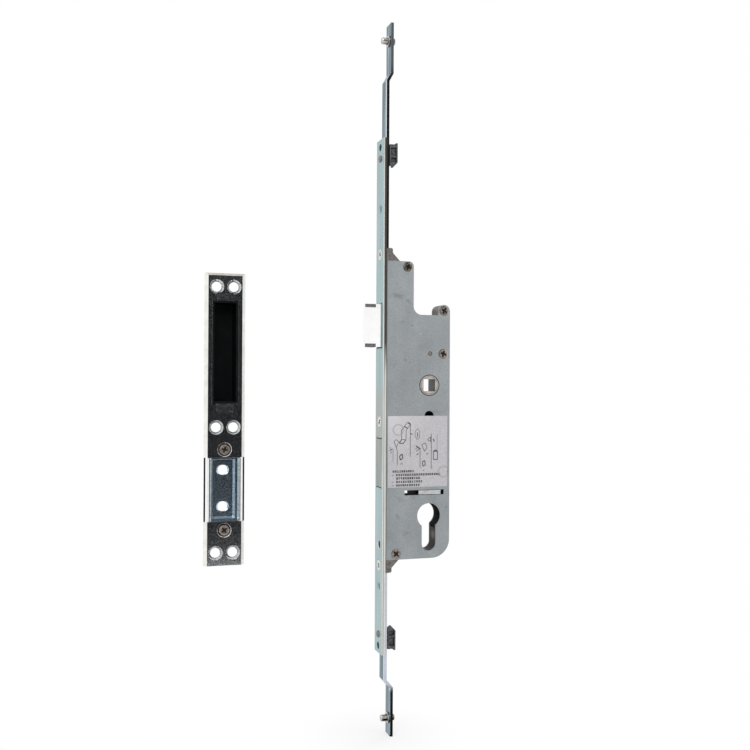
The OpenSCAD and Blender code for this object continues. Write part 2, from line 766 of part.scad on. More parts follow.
// Lower rod, drawn back at rest
module lower_rod() {
    x0 = rod_x - 1;
    x1 = rod_back_x + 1;
    color("lightslategray") difference() {
        slab(-rod_w / 2, rod_w / 2) mirror([0, 1])
            rod_outline(-lower_foot_z[1], lower_crank_z, lower_crank_set, lower_tip_z);
        rod_slot(lower_hole_z, lower_rivet_z + drive_travel, end_hole_r, x0, x1);
        rod_slot(-lower_fixing_z, -lower_fixing_z + drive_travel, fixing_r, x0, x1);
        rod_slot(bottom_screw_z, bottom_screw_z + drive_travel, faceplate_screw_r, x0, x1);
        rod_slot(-cylinder_screw_z, -cylinder_screw_z + drive_travel, cylinder_screw_r, x0, x1);
        tongue(lower_foot_z[0] + foot_edge, lower_foot_z[1] - foot_edge, slide_y, rod_w, fit);
        round_x(0, -lower_tip_z + tip_to_pin, rod_pin_r - 0.3 + fit, x0, x1 + lower_crank_set);
    }
}

// Rod pin: turned, with a collar, riveted over behind the rod
module rod_pin(face) {
    color("silver") translate([face, 0, 0]) rotate([0, 90, 0]) rotate_extrude($fn = 48)
        polygon([[0, -rod_pin_l], [rod_pin_r - 0.4, -rod_pin_l], [rod_pin_r, -rod_pin_l + 0.4],
                 [rod_pin_r, -1], [rod_pin_r + 1.5, -1], [rod_pin_r + 1.5, 0],
                 [rod_pin_r - 0.3, 0], [rod_pin_r - 0.3, rod_t], [rod_pin_r, rod_t],
                 [rod_pin_r, rod_t + rod_pin_head - 0.6],
                 [rod_pin_r - 0.6, rod_t + rod_pin_head], [0, rod_t + rod_pin_head]]);
}

module upper_pin() {
    translate([0, 0, upper_tip_z - tip_to_pin]) rod_pin(rod_x + upper_crank_set);
}

module lower_pin() {
    translate([0, 0, -lower_tip_z + tip_to_pin]) rod_pin(rod_x + lower_crank_set);
}

// Teeth of a rack that point to +X from its root, with a gap centred at height z
module rack_teeth(pitch_x, z, span) {
    root = tooth_p / 4 + dedendum * tan(pressure_angle) - backlash / 2;
    tip = tooth_p / 4 - addendum * tan(pressure_angle) - backlash / 2;
    count = floor((span[1] - span[0]) / tooth_p) + 2;
    first = floor((span[0] - z) / tooth_p);
    for (k = [first : first + count]) {
        mid = z + (k + 0.5) * tooth_p;
        if (mid - root > span[0] && mid + root < span[1])
            polygon([[pitch_x - dedendum - eps, mid - root], [pitch_x + addendum, mid - tip],
                     [pitch_x + addendum, mid + tip], [pitch_x - dedendum - eps, mid + root]]);
    }
}

// Upper slide: flat plate in the front layer, from the pinion up to the rod
module upper_slide() {
    root = upper_pitch_x - dedendum;
    color("silver") {
        slab(-layer_y, -slide_y) {
            patch([rod_x, upper_rack_z[0]], [root, jog_z[1]]);
            rack_teeth(upper_pitch_x, -pinion_z, upper_rack_z);
            patch([rod_x, jog_z[0]], [upper_bar_x1, jog_z[1]]);
            patch([upper_bar_x0, jog_z[0]], [upper_bar_x1, upper_foot_z[1]]);
            patch([rod_back_x, upper_foot_z[0]], [upper_bar_x1, upper_foot_z[1]]);
        }
        tongue(upper_foot_z[0] + foot_edge, upper_foot_z[1] - foot_edge, -layer_y, -slide_y, 0);
    }
}

// Lower slide: flat plate in the back layer, with the follower's notch and a rack
module lower_slide() {
    root = lower_pitch_x + dedendum;
    notch = drive_pin_r + gap;
    rack_x1 = lower_bar_x1 + 3.2;
    color("silver") {
        slab(slide_y, layer_y) {
            difference() {
                patch([-drive_arm - notch - 3, notch_z[0]], [rack_x1, notch_z[1]]);
                link([-drive_arm - gap, drive_pin_z], [drive_pin_x + gap, drive_pin_z], 2 * notch);
            }
            patch([root, lower_rack_z[0]], [rack_x1, notch_z[0] + 1]);
            mirror([1, 0]) rack_teeth(-lower_pitch_x, -pinion_z, lower_rack_z);
            patch([lower_bar_x0, lower_foot_z[0]], [lower_bar_x1, lower_rack_z[0]]);
            patch([root, lower_rack_z[0] - 3], [lower_bar_x1, lower_rack_z[0] + 1]);
            patch([rod_back_x, lower_foot_z[0]], [lower_bar_x1, lower_foot_z[1]]);
        }
        tongue(lower_foot_z[0] + foot_edge, lower_foot_z[1] - foot_edge, slide_y, layer_y, 0);
    }
}

// Flank of an involute tooth: a point at unwinding angle u on base radius rb
function involute(rb, u) = rb * [cos(u) + u * PI / 180 * sin(u), sin(u) - u * PI / 180 * cos(u)];
function unwind(rb, r) = sqrt(max(0, (r / rb) * (r / rb) - 1)) * 180 / PI;
function polar_of(p) = atan2(p[1], p[0]);

// Reversing pinion: meshes with both slides and turns their motion round
module reversing_pinion() {
    rb = pinion_r * cos(pressure_angle);
    root = pinion_r - dedendum;
    outer = pinion_r + addendum;
    half = 90 / pinion_teeth - backlash / 2 / pinion_r * 180 / PI;
    lead = half + polar_of(involute(rb, unwind(rb, pinion_r)));
    radii = [rb, rb + 0.15, pinion_r, (pinion_r + outer) / 2, outer];
    flank = [for (r = radii) let (p = involute(rb, unwind(rb, r)), a = lead - polar_of(p))
        norm(p) * [cos(a), sin(a)]];
    side = concat([root * [cos(lead), sin(lead)]], flank);
    edge = concat([for (p = side) [p[0], -p[1]]], [for (i = [len(side) - 1 : -1 : 0]) side[i]],
                  [root * [cos(180 / pinion_teeth), sin(180 / pinion_teeth)]]);
    step = 360 / pinion_teeth;
    outline = [for (k = [0 : pinion_teeth - 1]) for (p = edge)
        [p[0] * cos(k * step) - p[1] * sin(k * step), p[0] * sin(k * step) + p[1] * cos(k * step)]];
    color("goldenrod") translate([pinion_x, 0, -pinion_z]) slab(-layer_y, layer_y) difference() {
        polygon(outline);
        circle(r = axle_r + run, $fn = 48);
    }
}

// Pinion axle: fixed in the back plate
module pinion_axle() {
    color("gray") round_y(pinion_x, -pinion_z, axle_r - eps, -inner_y, half_t);
}

// Follower: cast hub with the square socket, a drive arm and a nose for the latch lever
module follower() {
    color("tan") difference() {
        union() {
            slab(-half_t, half_t) circle(r = hub_r, $fn = 96);
            slab(-layer_y, layer_y) circle(r = shoulder_r, $fn = 96);
            slab(-middle_y, middle_y) {
                link([0, 0], [drive_pin_x, drive_pin_z], 5.6);
                link([0, 0], nose_arm, 2 * nose_r);
                link([0, 0], [stub_l, 0], 2 * stub_r);
            }
        }
        slab(-half_t - 1, half_t + 1) square(spindle_square, center = true);
        round_y(drive_pin_x, drive_pin_z, drive_pin_r - 0.3, -half_t, half_t);
    }
}

// Drive pin: pressed into the follower's arm, works in the lower slide's notch
module drive_pin() {
    color("silver") {
        round_y(drive_pin_x, drive_pin_z, drive_pin_r - 0.3 - eps, -middle_y, middle_y);
        round_y(drive_pin_x, drive_pin_z, drive_pin_r, middle_y, layer_y);
    }
}

// Follower spring: hairpin round its post, one leg along the wall, one on the follower's stub
module follower_spring() {
    post = post_screws[1];
    coil = post_r + hair_wire + fit;
    turns = 2.5;
    steps = 16;
    pitch = 2.4 * hair_wire;
    y0 = -pitch * turns / 2;
    y1 = pitch * turns / 2;
    foot = stub_r + hair_wire + 0.2;
    path = concat(
        [[post[0] + coil, y0, post[1] - 12], [post[0] + coil, y0, post[1] - 2]],
        [for (i = [0 : steps * turns]) let (a = 360 * i / steps)
            [post[0] + coil * cos(a), y0 + pitch * i / steps, post[1] + coil * sin(a)]],
        [[post[0] - coil, y1, post[1] - 3], [stub_l - 0.2, y1, foot]]);
    color("gray") swept(path, hair_wire, 6, [0, 1, 0]);
}

// Plan of the latch's head: flat towards the cover, bevelled on the far side
module latch_plan(x0, x1) {
    half = bolt_t / 2;
    intersection() {
        polygon([[nose_x + 0.5, -half], [nose_x, -half + 0.5], [nose_x, -half + latch_nose],
                 [nose_x + 0.6, -half + latch_nose + 0.7], [nose_x + latch_bevel, half],
                 [latch_back_x, half], [latch_back_x, -half]]);
        translate([x0, -half - 1]) square([x1 - x0, bolt_t + 2]);
    }
}

pad_x = [nose_x + 0.8, nose_x + 8.6];

// Latch bolt: head with a groove for each pad, and a body bored for its spring
module latch_bolt() {
    color("white") difference() {
        union() {
            translate([0, 0, latch_bottom]) linear_extrude(height = latch_h)
                latch_plan(nose_x - 1, latch_back_x + 1);
            block([latch_back_x - eps, -middle_y, latch_body_h[0]],
                  [latch_body_x1, layer_y, latch_body_h[1]]);
        }
        for (z = [latch_bottom - 1, latch_top - pad_h])
            block([pad_x[0], -bolt_t, z], [pad_x[1], bolt_t, z + pad_h + 1]);
        round_x(spring_y, spring_z, spring_bore_r, spring_bore_x, latch_body_x1 + 1);
    }
}

// Latch pads: dark low-friction strips set into the latch's top and bottom
module latch_pads() {
    color("dimgray") for (z = [latch_bottom, latch_top - pad_h + fit])
        translate([0, 0, z]) linear_extrude(height = pad_h - fit)
            latch_plan(pad_x[0] + fit, pad_x[1] - fit);
}

// Latch tail: plate behind the latch with a window for the lever's tip
module latch_tail() {
    reach = lever_tip_r + gap;
    color("silver") slab(tail_y[0], tail_y[1]) difference() {
        patch([latch_body_x1, latch_z - 4], [lever_tip[0] + reach + 3, latch_z + 6.3]);
        patch([lever_tip[0] - reach, latch_z - 1.9], [lever_tip[0] + reach, latch_z + 5]);
    }
}

// Latch lever: bell crank whose toe the follower lifts and whose tip draws the latch
module latch_lever() {
    pivot = [lever_x, lever_z];
    color("silver") {
        difference() {
            slab(-middle_y, lever_y) {
                link(pivot, lever_tip, lever_bar_w);
                link(pivot, lever_toe, lever_bar_w);
                translate(pivot) circle(r = 3.4, $fn = 48);
            }
            round_y(pivot[0], pivot[1], lever_pin_r + run, -half_t, half_t);
        }
        round_y(lever_tip[0], lever_tip[1], lever_tip_r, lever_y - eps, tail_y[1]);
    }
}

// Lever pivot: riveted through both plates beside a cover screw
module lever_pivot() {
    color("gray") round_y(lever_x, lever_z, lever_pin_r - eps, -half_t - 0.2, half_t + 0.2);
}

// Latch spring: coil inside the latch, pushing against its stop
module latch_spring() {
    x0 = spring_bore_x + latch_wire + 0.05;
    x1 = stop_x[0] - latch_wire - 0.05;
    steps = 12;
    count = latch_turns * steps;
    path = [for (i = [0 : count]) let (a = 360 * i / steps)
        [x0 + (x1 - x0) * i / count, spring_y + latch_coil_r * cos(a),
         spring_z + latch_coil_r * sin(a)]];
    color("gray") swept(path, latch_wire, 6, [1, 0, 0]);
}

// Spring stop: lug on the back plate with a pin that keeps the spring straight
module spring_stop() {
    color("silver") {
        block([stop_x[0], -middle_y, spring_z - 3.6], [stop_x[1], inner_y, spring_z + 3.4]);
        round_x(spring_y, spring_z, 1.4, spring_bore_x + latch_out + 3, stop_x[0] + eps);
    }
}

// Deadbolt: flush at rest, slotted behind for its tail
module deadbolt() {
    half = bolt_t / 2;
    x1 = front_x + bolt_head_l;
    color("rosybrown") difference() {
        block([front_x, -half, deadbolt_bottom], [x1, half, deadbolt_top]);
        block([tongue_x - fit, -tail_t / 2 - fit, tongue_z[0] - fit],
              [x1 + 1, tail_t / 2 + fit, tongue_z[1] + fit]);
        for (z = [tongue_z[0] + 3, tongue_z[1] - 3])
            round_y(tongue_x + 3, z, tail_rivet_r, -half - 1, half + 1);
    }
}

// Deadbolt tail: plate that the cylinder's cam pushes, with the guide that shows in the slot
module deadbolt_tail() {
    guide_h = guide_slot_h - 2 * gap;
    color("silver") difference() {
        union() {
            slab(-tail_t / 2, tail_t / 2) {
                patch([tongue_x, tongue_z[0]], [tail_left + eps, tongue_z[1]]);
                patch([tail_left + tail_step, tail_z[0]], [tail_x1, tail_z[1]]);
                patch([tail_left, -guide_slot_z + guide_slot_h], [tail_left + 8, tail_z[1]]);
                patch([tail_left, tail_z[1] - eps], [tail_left + 8, tongue_z[1]]);
                patch([tail_left + 4.2, tooth_z], [-cam_half_gap, tail_z[0] + eps]);
                patch([cam_half_gap, tooth_z], [tail_x1, tail_z[0] + eps]);
            }
            block([guide_x, -half_t + 0.25, -guide_slot_z - guide_h / 2],
                  [guide_x + guide_l, -tail_t / 2 + eps, -guide_slot_z + guide_h / 2]);
        }
        for (z = [tongue_z[0] + 3, tongue_z[1] - 3])
            round_y(tongue_x + 3, z, tail_rivet_r, -half_t, half_t);
    }
}

// Tail rivets: hold the tail in the deadbolt's slot
module tail_rivets() {
    color("gray") for (z = [tongue_z[0] + 3, tongue_z[1] - 3])
        round_y(tongue_x + 3, z, tail_rivet_r - eps, -bolt_t / 2, bolt_t / 2);
}

// Drag spring: leaf clipped round a post, bears on the tail's top edge
module drag_spring() {
    post = post_screws[3];
    r0 = post_r + fit;
    low = tail_z[1] + gap;
    arm = [post[0] - r0 - drag_t / 2, post[1]];
    color("gray") slab(-2, 2) {
        difference() {
            translate(post) circle(r = r0 + drag_t, $fn = 64);
            translate(post) circle(r = r0, $fn = 64);
            translate(post) patch([0.4 * r0, -2 * r0], [2 * r0, 2 * r0]);
        }
        link(arm, [-1, low + drag_t / 2], drag_t);
        link([-1, low + drag_t / 2], [-4, low + 1.4], drag_t);
    }
}

// Section of the strike across its length, edges bevelled and turned back
module strike_section(w, edge) {
    half = w / 2;
    polygon([[-half, strike_d], [-half, strike_bevel], [-half + strike_bevel, 0],
             [half - strike_bevel, 0], [half, strike_bevel], [half, strike_d],
             [half - edge, strike_d], [half - edge, strike_t + 0.6], [half - edge - 0.8, strike_t],
             [-half + edge + 0.8, strike_t], [-half + edge, strike_t + 0.6], [-half + edge, strike_d]]);
}

// Places of the strike's parts: x from its middle, y from its face, z from its upper end
module at_strike() {
    translate([-strike_x, strike_y, strike_z]) children();
}

// Strike plate: pressed steel with six screw holes, the deadbolt opening and the keep's window
module strike_plate() {
    half = strike_w / 2;
    inner = half - side_strip_t;
    color("silver") at_strike() difference() {
        translate([0, 0, -strike_l]) linear_extrude(height = strike_l)
            strike_section(strike_w, strike_t);
        translate([-half - 1, 0, 0]) rotate([90, 0, 90]) linear_extrude(height = strike_w + 2)
            polygon([[-1, 1], [-1, -strike_end_bevel - 1], [strike_end_bevel + 1, 1]]);
        for (z = [row_1, row_1 + row_2, row_1 + row_3]) for (x = [-1, 1])
            translate([x * strike_hole_x / 2, 0, -z])
                countersink(strike_hole_r + 1.5 - fit, strike_hole_r - fit, strike_d);
        block([-opening_w / 2, -1, -opening_from - opening_l],
              [opening_w / 2, strike_d, -opening_from]);
        for (z = [-opening_from, -opening_from - opening_l])
            block([-tab_w / 2, -1, z - tab_h], [tab_w / 2, tab_t, z + tab_h]);
        block([-inner, -1, -keep_from - keep_l], [inner, strike_d + 1, -keep_from]);
        block([-half - 1, -1, -keep_from - keep_l], [half + 1, strike_bevel, -keep_from]);
        block([-inner, strike_t, -keep_from - keep_l - keep_ear - 1],
              [inner, strike_d + 1, -keep_from + keep_ear + 1]);
        for (z = keep_screw_z) translate([0, 0, z - strike_z]) keep_hole();
    }
}

// Hole for a keep screw, wide enough for the screw to move with the keep
module keep_hole() {
    r = keep_screw_r + gap + keep_travel;
    head = keep_screw_head_r + gap + keep_travel;
    round_y(0, 0, r, -1, strike_d);
    translate([0, -eps, 0]) rotate([-90, 0, 0])
        cylinder(r1 = head + eps, r2 = r, h = head - r + eps, $fn = 64);
}

// Dust box: moulded cup behind the deadbolt opening, held by a tab at each end
module dust_box() {
    w = opening_w - 2 * fit;
    l = opening_l - 2 * fit;
    top = -opening_from - fit;
    lip = 2;
    color("black") at_strike() {
        difference() {
            union() {
                block([-w / 2, 0.3, top - l], [w / 2, dust_box_d, top]);
                block([-w / 2 - lip, strike_t + fit, top - l - lip],
                      [w / 2 + lip, strike_t + 1.4, top + lip]);
            }
            block([-w / 2 + dust_box_wall, -1, top - l + dust_box_wall],
                  [w / 2 - dust_box_wall, dust_box_d - dust_box_wall, top - dust_box_wall]);
        }
        for (z = [top - 0.1, top - l + 0.1 - tab_h])
            block([-tab_w / 2 + fit, 0, z], [tab_w / 2 - fit, tab_t - fit, z + tab_h]);
    }
}

// Latch keep: pressed tray between two raised lips, with an ear under the plate at each end
module latch_keep() {
    half = keep_w / 2;
    mid = keep_mid_z - strike_z;
    hl = keep_l / 2 - gap;
    wall = 1.2;
    floor_y = 0.6 + pocket_d;
    color("lightsteelblue") at_strike() translate([0, 0, mid]) difference() {
        union() {
            block([-half, 0.6, -hl], [half, strike_t + keep_ear_t + fit, hl]);
            translate([-pocket_aside, 0, pocket_up])
                block([-pocket_w / 2 - wall + 0.6, 1, -pocket_l / 2 - wall + 0.6],
                      [pocket_w / 2 + wall - 0.6, floor_y + wall, pocket_l / 2 + wall - 0.6]);
            block([-half, strike_t + fit, -keep_l / 2 - keep_ear],
                  [half, strike_t + fit + keep_ear_t, keep_l / 2 + keep_ear]);
            for (side = [0, 1]) mirror([side, 0, 0]) keep_lip(half, hl);
        }
        translate([-pocket_aside, 0, pocket_up]) {
            pocket();
            for (z = [-1, 1]) {
                round_y(0, z * keep_holes / 2, keep_hole_r, -1, floor_y + wall + 1);
                for (x = [-keep_hole_wide, keep_hole_wide])
                    translate([x, floor_y, z * keep_holes / 2]) rotate([-90, 0, 0])
                        cylinder(r1 = keep_hole_r, r2 = keep_hole_r - keep_hole_wide, h = 0.5,
                                 $fn = 64);
            }
        }
        for (z = keep_screw_z) round_y(0, z - keep_mid_z, keep_screw_r + fit, 0, strike_d + 2);
    }
}

// Raised lip along an edge of the latch keep, over the strike's strip
module keep_lip(half, hl) {
    x0 = -half - lip_out;
    translate([0, 0, -hl]) linear_extrude(height = 2 * hl)
        polygon([[x0, 1], [x0, 0.6], [x0 + lip_w / 2 - 0.3, 0.6 - lip_h],
                 [x0 + lip_w / 2 + 0.2, 0.6 - lip_h], [x0 + lip_w, 0.6], [x0 + lip_w, 1]]);
}

// The sloping hollow of the latch keep
module pocket() {
    y0 = 0.6;
    slope = pocket_slope / pocket_d;
    intersection() {
        translate([0, 0, -pocket_l]) linear_extrude(height = 2 * pocket_l)
            pocket_section(pocket_w / 2, y0, slope);
        rotate([0, 90, 0]) translate([0, 0, -pocket_w]) linear_extrude(height = 2 * pocket_w)
            pocket_section(pocket_l / 2, y0, slope);
    }
}

module pocket_section(half, y0, slope) {
    low = half - slope * pocket_d;
    high = half + slope * 0.5;
    polygon([[-high, y0 - 0.5], [high, y0 - 0.5], [low, y0 + pocket_d], [-low, y0 + pocket_d]]);
}

// Keep screws: two alike, clamp the latch keep where it is set
module keep_screws() {
    color("tan") for (z = keep_screw_z) translate([-strike_x, strike_y + 0.2, z])
        countersunk(keep_screw_head_r, keep_screw_r, strike_t + keep_ear_t + 1, 1.9);
}

faceplate();
case_body();
case_cover();
cover_screws();
spacer_posts();
top_end_block();
bottom_end_block();
centre_block();
faceplate_screws();
top_guide_block();
bottom_guide_block();
guide_rivets();
cylinder_cradle();
label();
upper_rod();
upper_pin();
upper_slide();
lower_rod();
lower_pin();
lower_slide();
reversing_pinion();
pinion_axle();
follower();
drive_pin();
follower_spring();
latch_bolt();
latch_pads();
latch_tail();
latch_lever();
lever_pivot();
latch_spring();
spring_stop();
deadbolt();
deadbolt_tail();
tail_rivets();
drag_spring();
strike_plate();
dust_box();
latch_keep();
keep_screws();
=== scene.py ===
import json
from math import atan2, cos, exp, hypot, pi, radians, sin, tau
import bmesh
import bpy
from mathutils import Matrix, Vector

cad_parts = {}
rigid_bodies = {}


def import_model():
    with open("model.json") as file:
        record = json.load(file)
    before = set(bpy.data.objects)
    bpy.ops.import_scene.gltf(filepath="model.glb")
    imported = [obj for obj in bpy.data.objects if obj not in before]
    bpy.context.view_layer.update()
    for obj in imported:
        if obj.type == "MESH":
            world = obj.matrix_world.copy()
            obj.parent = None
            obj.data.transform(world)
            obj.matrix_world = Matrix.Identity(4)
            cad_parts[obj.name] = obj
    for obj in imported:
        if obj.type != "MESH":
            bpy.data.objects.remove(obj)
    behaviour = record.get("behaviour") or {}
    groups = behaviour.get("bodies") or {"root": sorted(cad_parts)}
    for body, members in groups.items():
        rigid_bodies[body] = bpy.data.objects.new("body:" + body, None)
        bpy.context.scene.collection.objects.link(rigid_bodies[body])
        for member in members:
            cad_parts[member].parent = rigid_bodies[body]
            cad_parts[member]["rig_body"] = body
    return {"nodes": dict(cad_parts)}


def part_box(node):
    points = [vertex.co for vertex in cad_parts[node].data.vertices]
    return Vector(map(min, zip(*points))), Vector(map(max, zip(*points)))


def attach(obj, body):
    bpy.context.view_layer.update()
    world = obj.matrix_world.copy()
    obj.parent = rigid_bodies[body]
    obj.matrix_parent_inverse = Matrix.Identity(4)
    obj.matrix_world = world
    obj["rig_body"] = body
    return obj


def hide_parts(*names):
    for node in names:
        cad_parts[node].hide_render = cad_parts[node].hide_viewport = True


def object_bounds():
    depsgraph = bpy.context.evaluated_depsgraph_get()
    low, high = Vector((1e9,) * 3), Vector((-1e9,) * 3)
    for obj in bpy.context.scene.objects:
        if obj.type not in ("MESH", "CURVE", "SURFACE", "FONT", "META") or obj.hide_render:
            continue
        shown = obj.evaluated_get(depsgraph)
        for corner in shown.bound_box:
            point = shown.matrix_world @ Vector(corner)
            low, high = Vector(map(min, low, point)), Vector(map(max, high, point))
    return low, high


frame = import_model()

cad_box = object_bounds()
scene = bpy.context.scene
scene.view_settings.view_transform = "Standard"

# The view. The lock stands upright with its screwed cover towards the camera, which is a little
# to the left of it, level with the spindle and two thirds of a metre away. The angles, the point
# that it looks at, the distance and the focal length were fitted to the photograph.
turn, tilt, lean = radians(-17.66195), radians(-0.353756), radians(0.277256)
looks_at, distance, focal_length = Vector((-0.03822963, 0, 0.00704219)), 0.6667335, 45.6155
back = Vector((sin(turn) * cos(tilt), -cos(turn) * cos(tilt), sin(tilt)))
side = (-back).cross(Vector((0, 0, 1))).normalized()
top = side.cross(-back)
side, top = cos(lean) * side + sin(lean) * top, cos(lean) * top - sin(lean) * side
lens = bpy.data.cameras.new("camera")
lens.lens, lens.sensor_width, lens.clip_end = focal_length, 36, 20
camera = bpy.data.objects.new("camera", lens)
camera.matrix_world = Matrix.Translation(looks_at + back * distance) @ Matrix(
    (side, top, back)).transposed().to_4x4()
scene.collection.objects.link(camera)
scene.camera = camera

# Faceplate: flat steel bar, blanked and drilled, zinc plated with a blue-green passivation. The
# end blocks and the centre block are screwed to it, and the rods slide behind it.
def linear(code):
    """A colour written as sRGB hex, in the linear values that the shader takes."""
    parts = [int(code[i:i + 2], 16) / 255 for i in (0, 2, 4)]
    return [p / 12.92 if p <= 0.04045 else ((p + 0.055) / 1.055) ** 2.4 for p in parts] + [1]


def add(finish, kind, inputs=(), stops=(), **settings):
    """Adds a node with its settings, and its inputs as values or as links from other nodes."""
    node = finish.node_tree.nodes.new("ShaderNode" + kind)
    for name, value in settings.items():
        setattr(node, name, value)
    for name, value in dict(inputs).items():
        if isinstance(value, bpy.types.NodeSocket):
            finish.node_tree.links.new(value, node.inputs[name])
        else:
            node.inputs[name].default_value = value
    for i, (place, colour) in enumerate(stops):
        spots = node.color_ramp.elements
        spot = spots[i] if i < 2 else spots.new(place)
        spot.position, spot.color = place, linear(colour)
    return node


def feed(finish, **inputs):
    """Gives the material's shader its inputs, as values or as links, and returns its sockets."""
    sockets = finish.node_tree.nodes["Principled BSDF"].inputs
    for name, value in inputs.items():
        name = name.replace("_", " ")
        if isinstance(value, bpy.types.NodeSocket):
            finish.node_tree.links.new(value, sockets[name])
        else:
            sockets[name].default_value = value
    return sockets


def grain(finish, size, stretch=(1, 1, 1), detail=2, rough=0.5):
    """A pattern in object space with spots of that size in millimetres, stretched per axis."""
    place = add(finish, "TexCoord")
    sized = add(finish, "Mapping", {"Vector": place.outputs["Object"],
                "Scale": [1000 / size / s for s in stretch]})
    return add(finish, "TexNoise", {"Vector": sized.outputs["Vector"], "Scale": 1.0,
               "Detail": detail, "Roughness": rough}).outputs["Fac"]


def metal(name, dark, middle, light, spots, roughness, fine=0.25, bump=0.05, metallic=1.0,
          stretch=(1, 1, 1), spread=(0.32, 0.5, 0.68)):
    """A metal surface: cloudy colour in spots of that size in millimetres, and a fine grain."""
    finish = bpy.data.materials.new(name)
    finish.use_nodes = True
    clouds = grain(finish, spots, stretch, 4, 0.6)
    colour = add(finish, "ValToRGB", {"Fac": clouds},
                 list(zip((spread[0], spread[2], spread[1]), (dark, light, middle))))
    specks = grain(finish, fine, stretch, 2, 0.6)
    shine = add(finish, "MapRange", {"Value": specks, "To Min": roughness[0],
                "To Max": roughness[1]})
    relief = add(finish, "Bump", {"Height": specks, "Strength": bump, "Distance": 0.0001})
    feed(finish, Base_Color=colour.outputs["Color"], Metallic=metallic,
         Roughness=shine.outputs["Result"], Normal=relief.outputs["Normal"])
    return finish


def paint_hollow_shade(finish, shade_colour, reach, low=0.3, high=0.85):
    """Paints shade into the finish in hollows up to that many millimetres wide, from ambient
    occlusion.
    """
    sockets = feed(finish)
    clean = sockets["Base Color"].links[0].from_socket
    sky = add(finish, "AmbientOcclusion", {"Distance": reach / 1000}, samples=8)
    share = add(finish, "MapRange", {"Value": sky.outputs["AO"], "From Min": low,
                "From Max": high})
    shaded_colour = add(finish, "Mix", {"Factor": share.outputs["Result"], "A": linear(shade_colour), "B": clean},
                 data_type="RGBA")
    feed(finish, Base_Color=shaded_colour.outputs["Result"])


def tint(finish, share, colour):
    """Lays that colour over the finish's own, as strongly as the share says."""
    own = feed(finish)["Base Color"].links[0].from_socket
    mixed = add(finish, "Mix", {"Factor": share, "A": own, "B": linear(colour)}, data_type="RGBA")
    feed(finish, Base_Color=mixed.outputs["Result"])


def oval(finish, place, centre, size, strength, inner=0.0, slant=0):
    """A soft oval in metres, that strong up to the inner share of its size, and none at its rim."""
    inside = add(finish, "Mapping", {"Vector": place, "Rotation": (0, radians(slant), 0),
                 "Location": centre, "Scale": size}, vector_type="TEXTURE")
    away = add(finish, "VectorMath", {0: inside.outputs["Vector"]}, operation="LENGTH")
    return add(finish, "MapRange", {"Value": away.outputs["Value"], "From Min": inner,
               "From Max": 1.0, "To Min": strength, "To Max": 0.0},
               interpolation_type="SMOOTHSTEP").outputs["Result"]


def stripe(finish, value, centre, strength, core, fade):
    """A stripe where the value is at its centre, that strong in its core and none past its fade."""
    off = add(finish, "Math", {0: value, 1: centre}, operation="SUBTRACT")
    off = add(finish, "Math", {0: off.outputs[0]}, operation="ABSOLUTE")
    return add(finish, "MapRange", {"Value": off.outputs[0], "From Min": core, "From Max": fade,
               "To Min": strength, "To Max": 0.0}).outputs["Result"]


def second_finish(made, finish, chosen):
    """Gives that finish to the faces whose normal and centre pass the test."""
    made.data.materials.append(finish)
    for face in made.data.polygons:
        if chosen(face.normal, face.center * 1000):
            face.material_index = len(made.data.materials) - 1


def edge_finishes(bar, edge, corner, beyond):
    """Finishes for a bar's edges and their corners, past that many millimetres from its middle."""
    second_finish(bar, edge, lambda normal, at: abs(normal.y) > 0.9 and abs(at.y) > beyond)
    second_finish(bar, corner, lambda normal, at: 0.3 < abs(normal.y) < 0.9 and abs(at.y) > beyond)


def piece(name, shape, finish, body, stands_for=(), smooth=32, weighted=True):
    """Makes a piece of a bmesh, smooth but for its sharp edges, and puts it on its body."""
    mesh = bpy.data.meshes.new(name)
    shape.to_mesh(mesh)
    shape.free()
    if "custom_normal" in mesh.attributes:
        mesh.attributes.remove(mesh.attributes["custom_normal"])
    mesh.shade_smooth()
    mesh.set_sharp_from_angle(angle=radians(smooth))
    made = bpy.data.objects.new(name, mesh)
    scene.collection.objects.link(made)
    mesh.materials.clear()
    mesh.materials.append(finish)
    if weighted:
        made.modifiers.new("even_shading", "WEIGHTED_NORMAL").keep_sharp = True
    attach(made, body)
    if stands_for:
        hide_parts(*stands_for)
    return made


def worked(node, finish, edge, steps=2):
    """The node's own shape with its sharp edges broken by that many millimetres."""
    shape = bmesh.new()
    shape.from_mesh(frame["nodes"][node].data)
    bmesh.ops.remove_doubles(shape, verts=shape.verts, dist=1e-6)
    bmesh.ops.dissolve_limit(shape, angle_limit=radians(1), verts=shape.verts, edges=shape.edges)
    sharp = [e for e in shape.edges if len(e.link_faces) == 2 and e.calc_face_angle() > radians(25)]
    bmesh.ops.bevel(shape, geom=sharp, offset=edge / 1000, offset_type="OFFSET", affect="EDGES",
                    segments=steps, profile=0.5, material=-1, clamp_overlap=True)
    return piece(node + "_finished", shape, finish, frame["nodes"][node]["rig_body"], [node])


# Blue-passivated zinc on cold-drawn steel: pale green-blue with long drawing lines, half matt, and
# worn to a plain grey near its middle by handling.
zinc = metal("blue_passivated_zinc", "93ADB1", "A3BBBD", "B6C9C9", 1.6, (0.30, 0.42), 0.5, 0.04,
             stretch=(1, 1, 40))
place = add(zinc, "TexCoord").outputs["Object"]
tint(zinc, oval(zinc, place, (-0.0355, 0, -0.03), (0.02, 0.02, 0.038), 0.8, 0.5), "A9ADA8")
# Painted shade in its hollows.
paint_hollow_shade(zinc, "1E2424", 4, 0.2, 0.7)
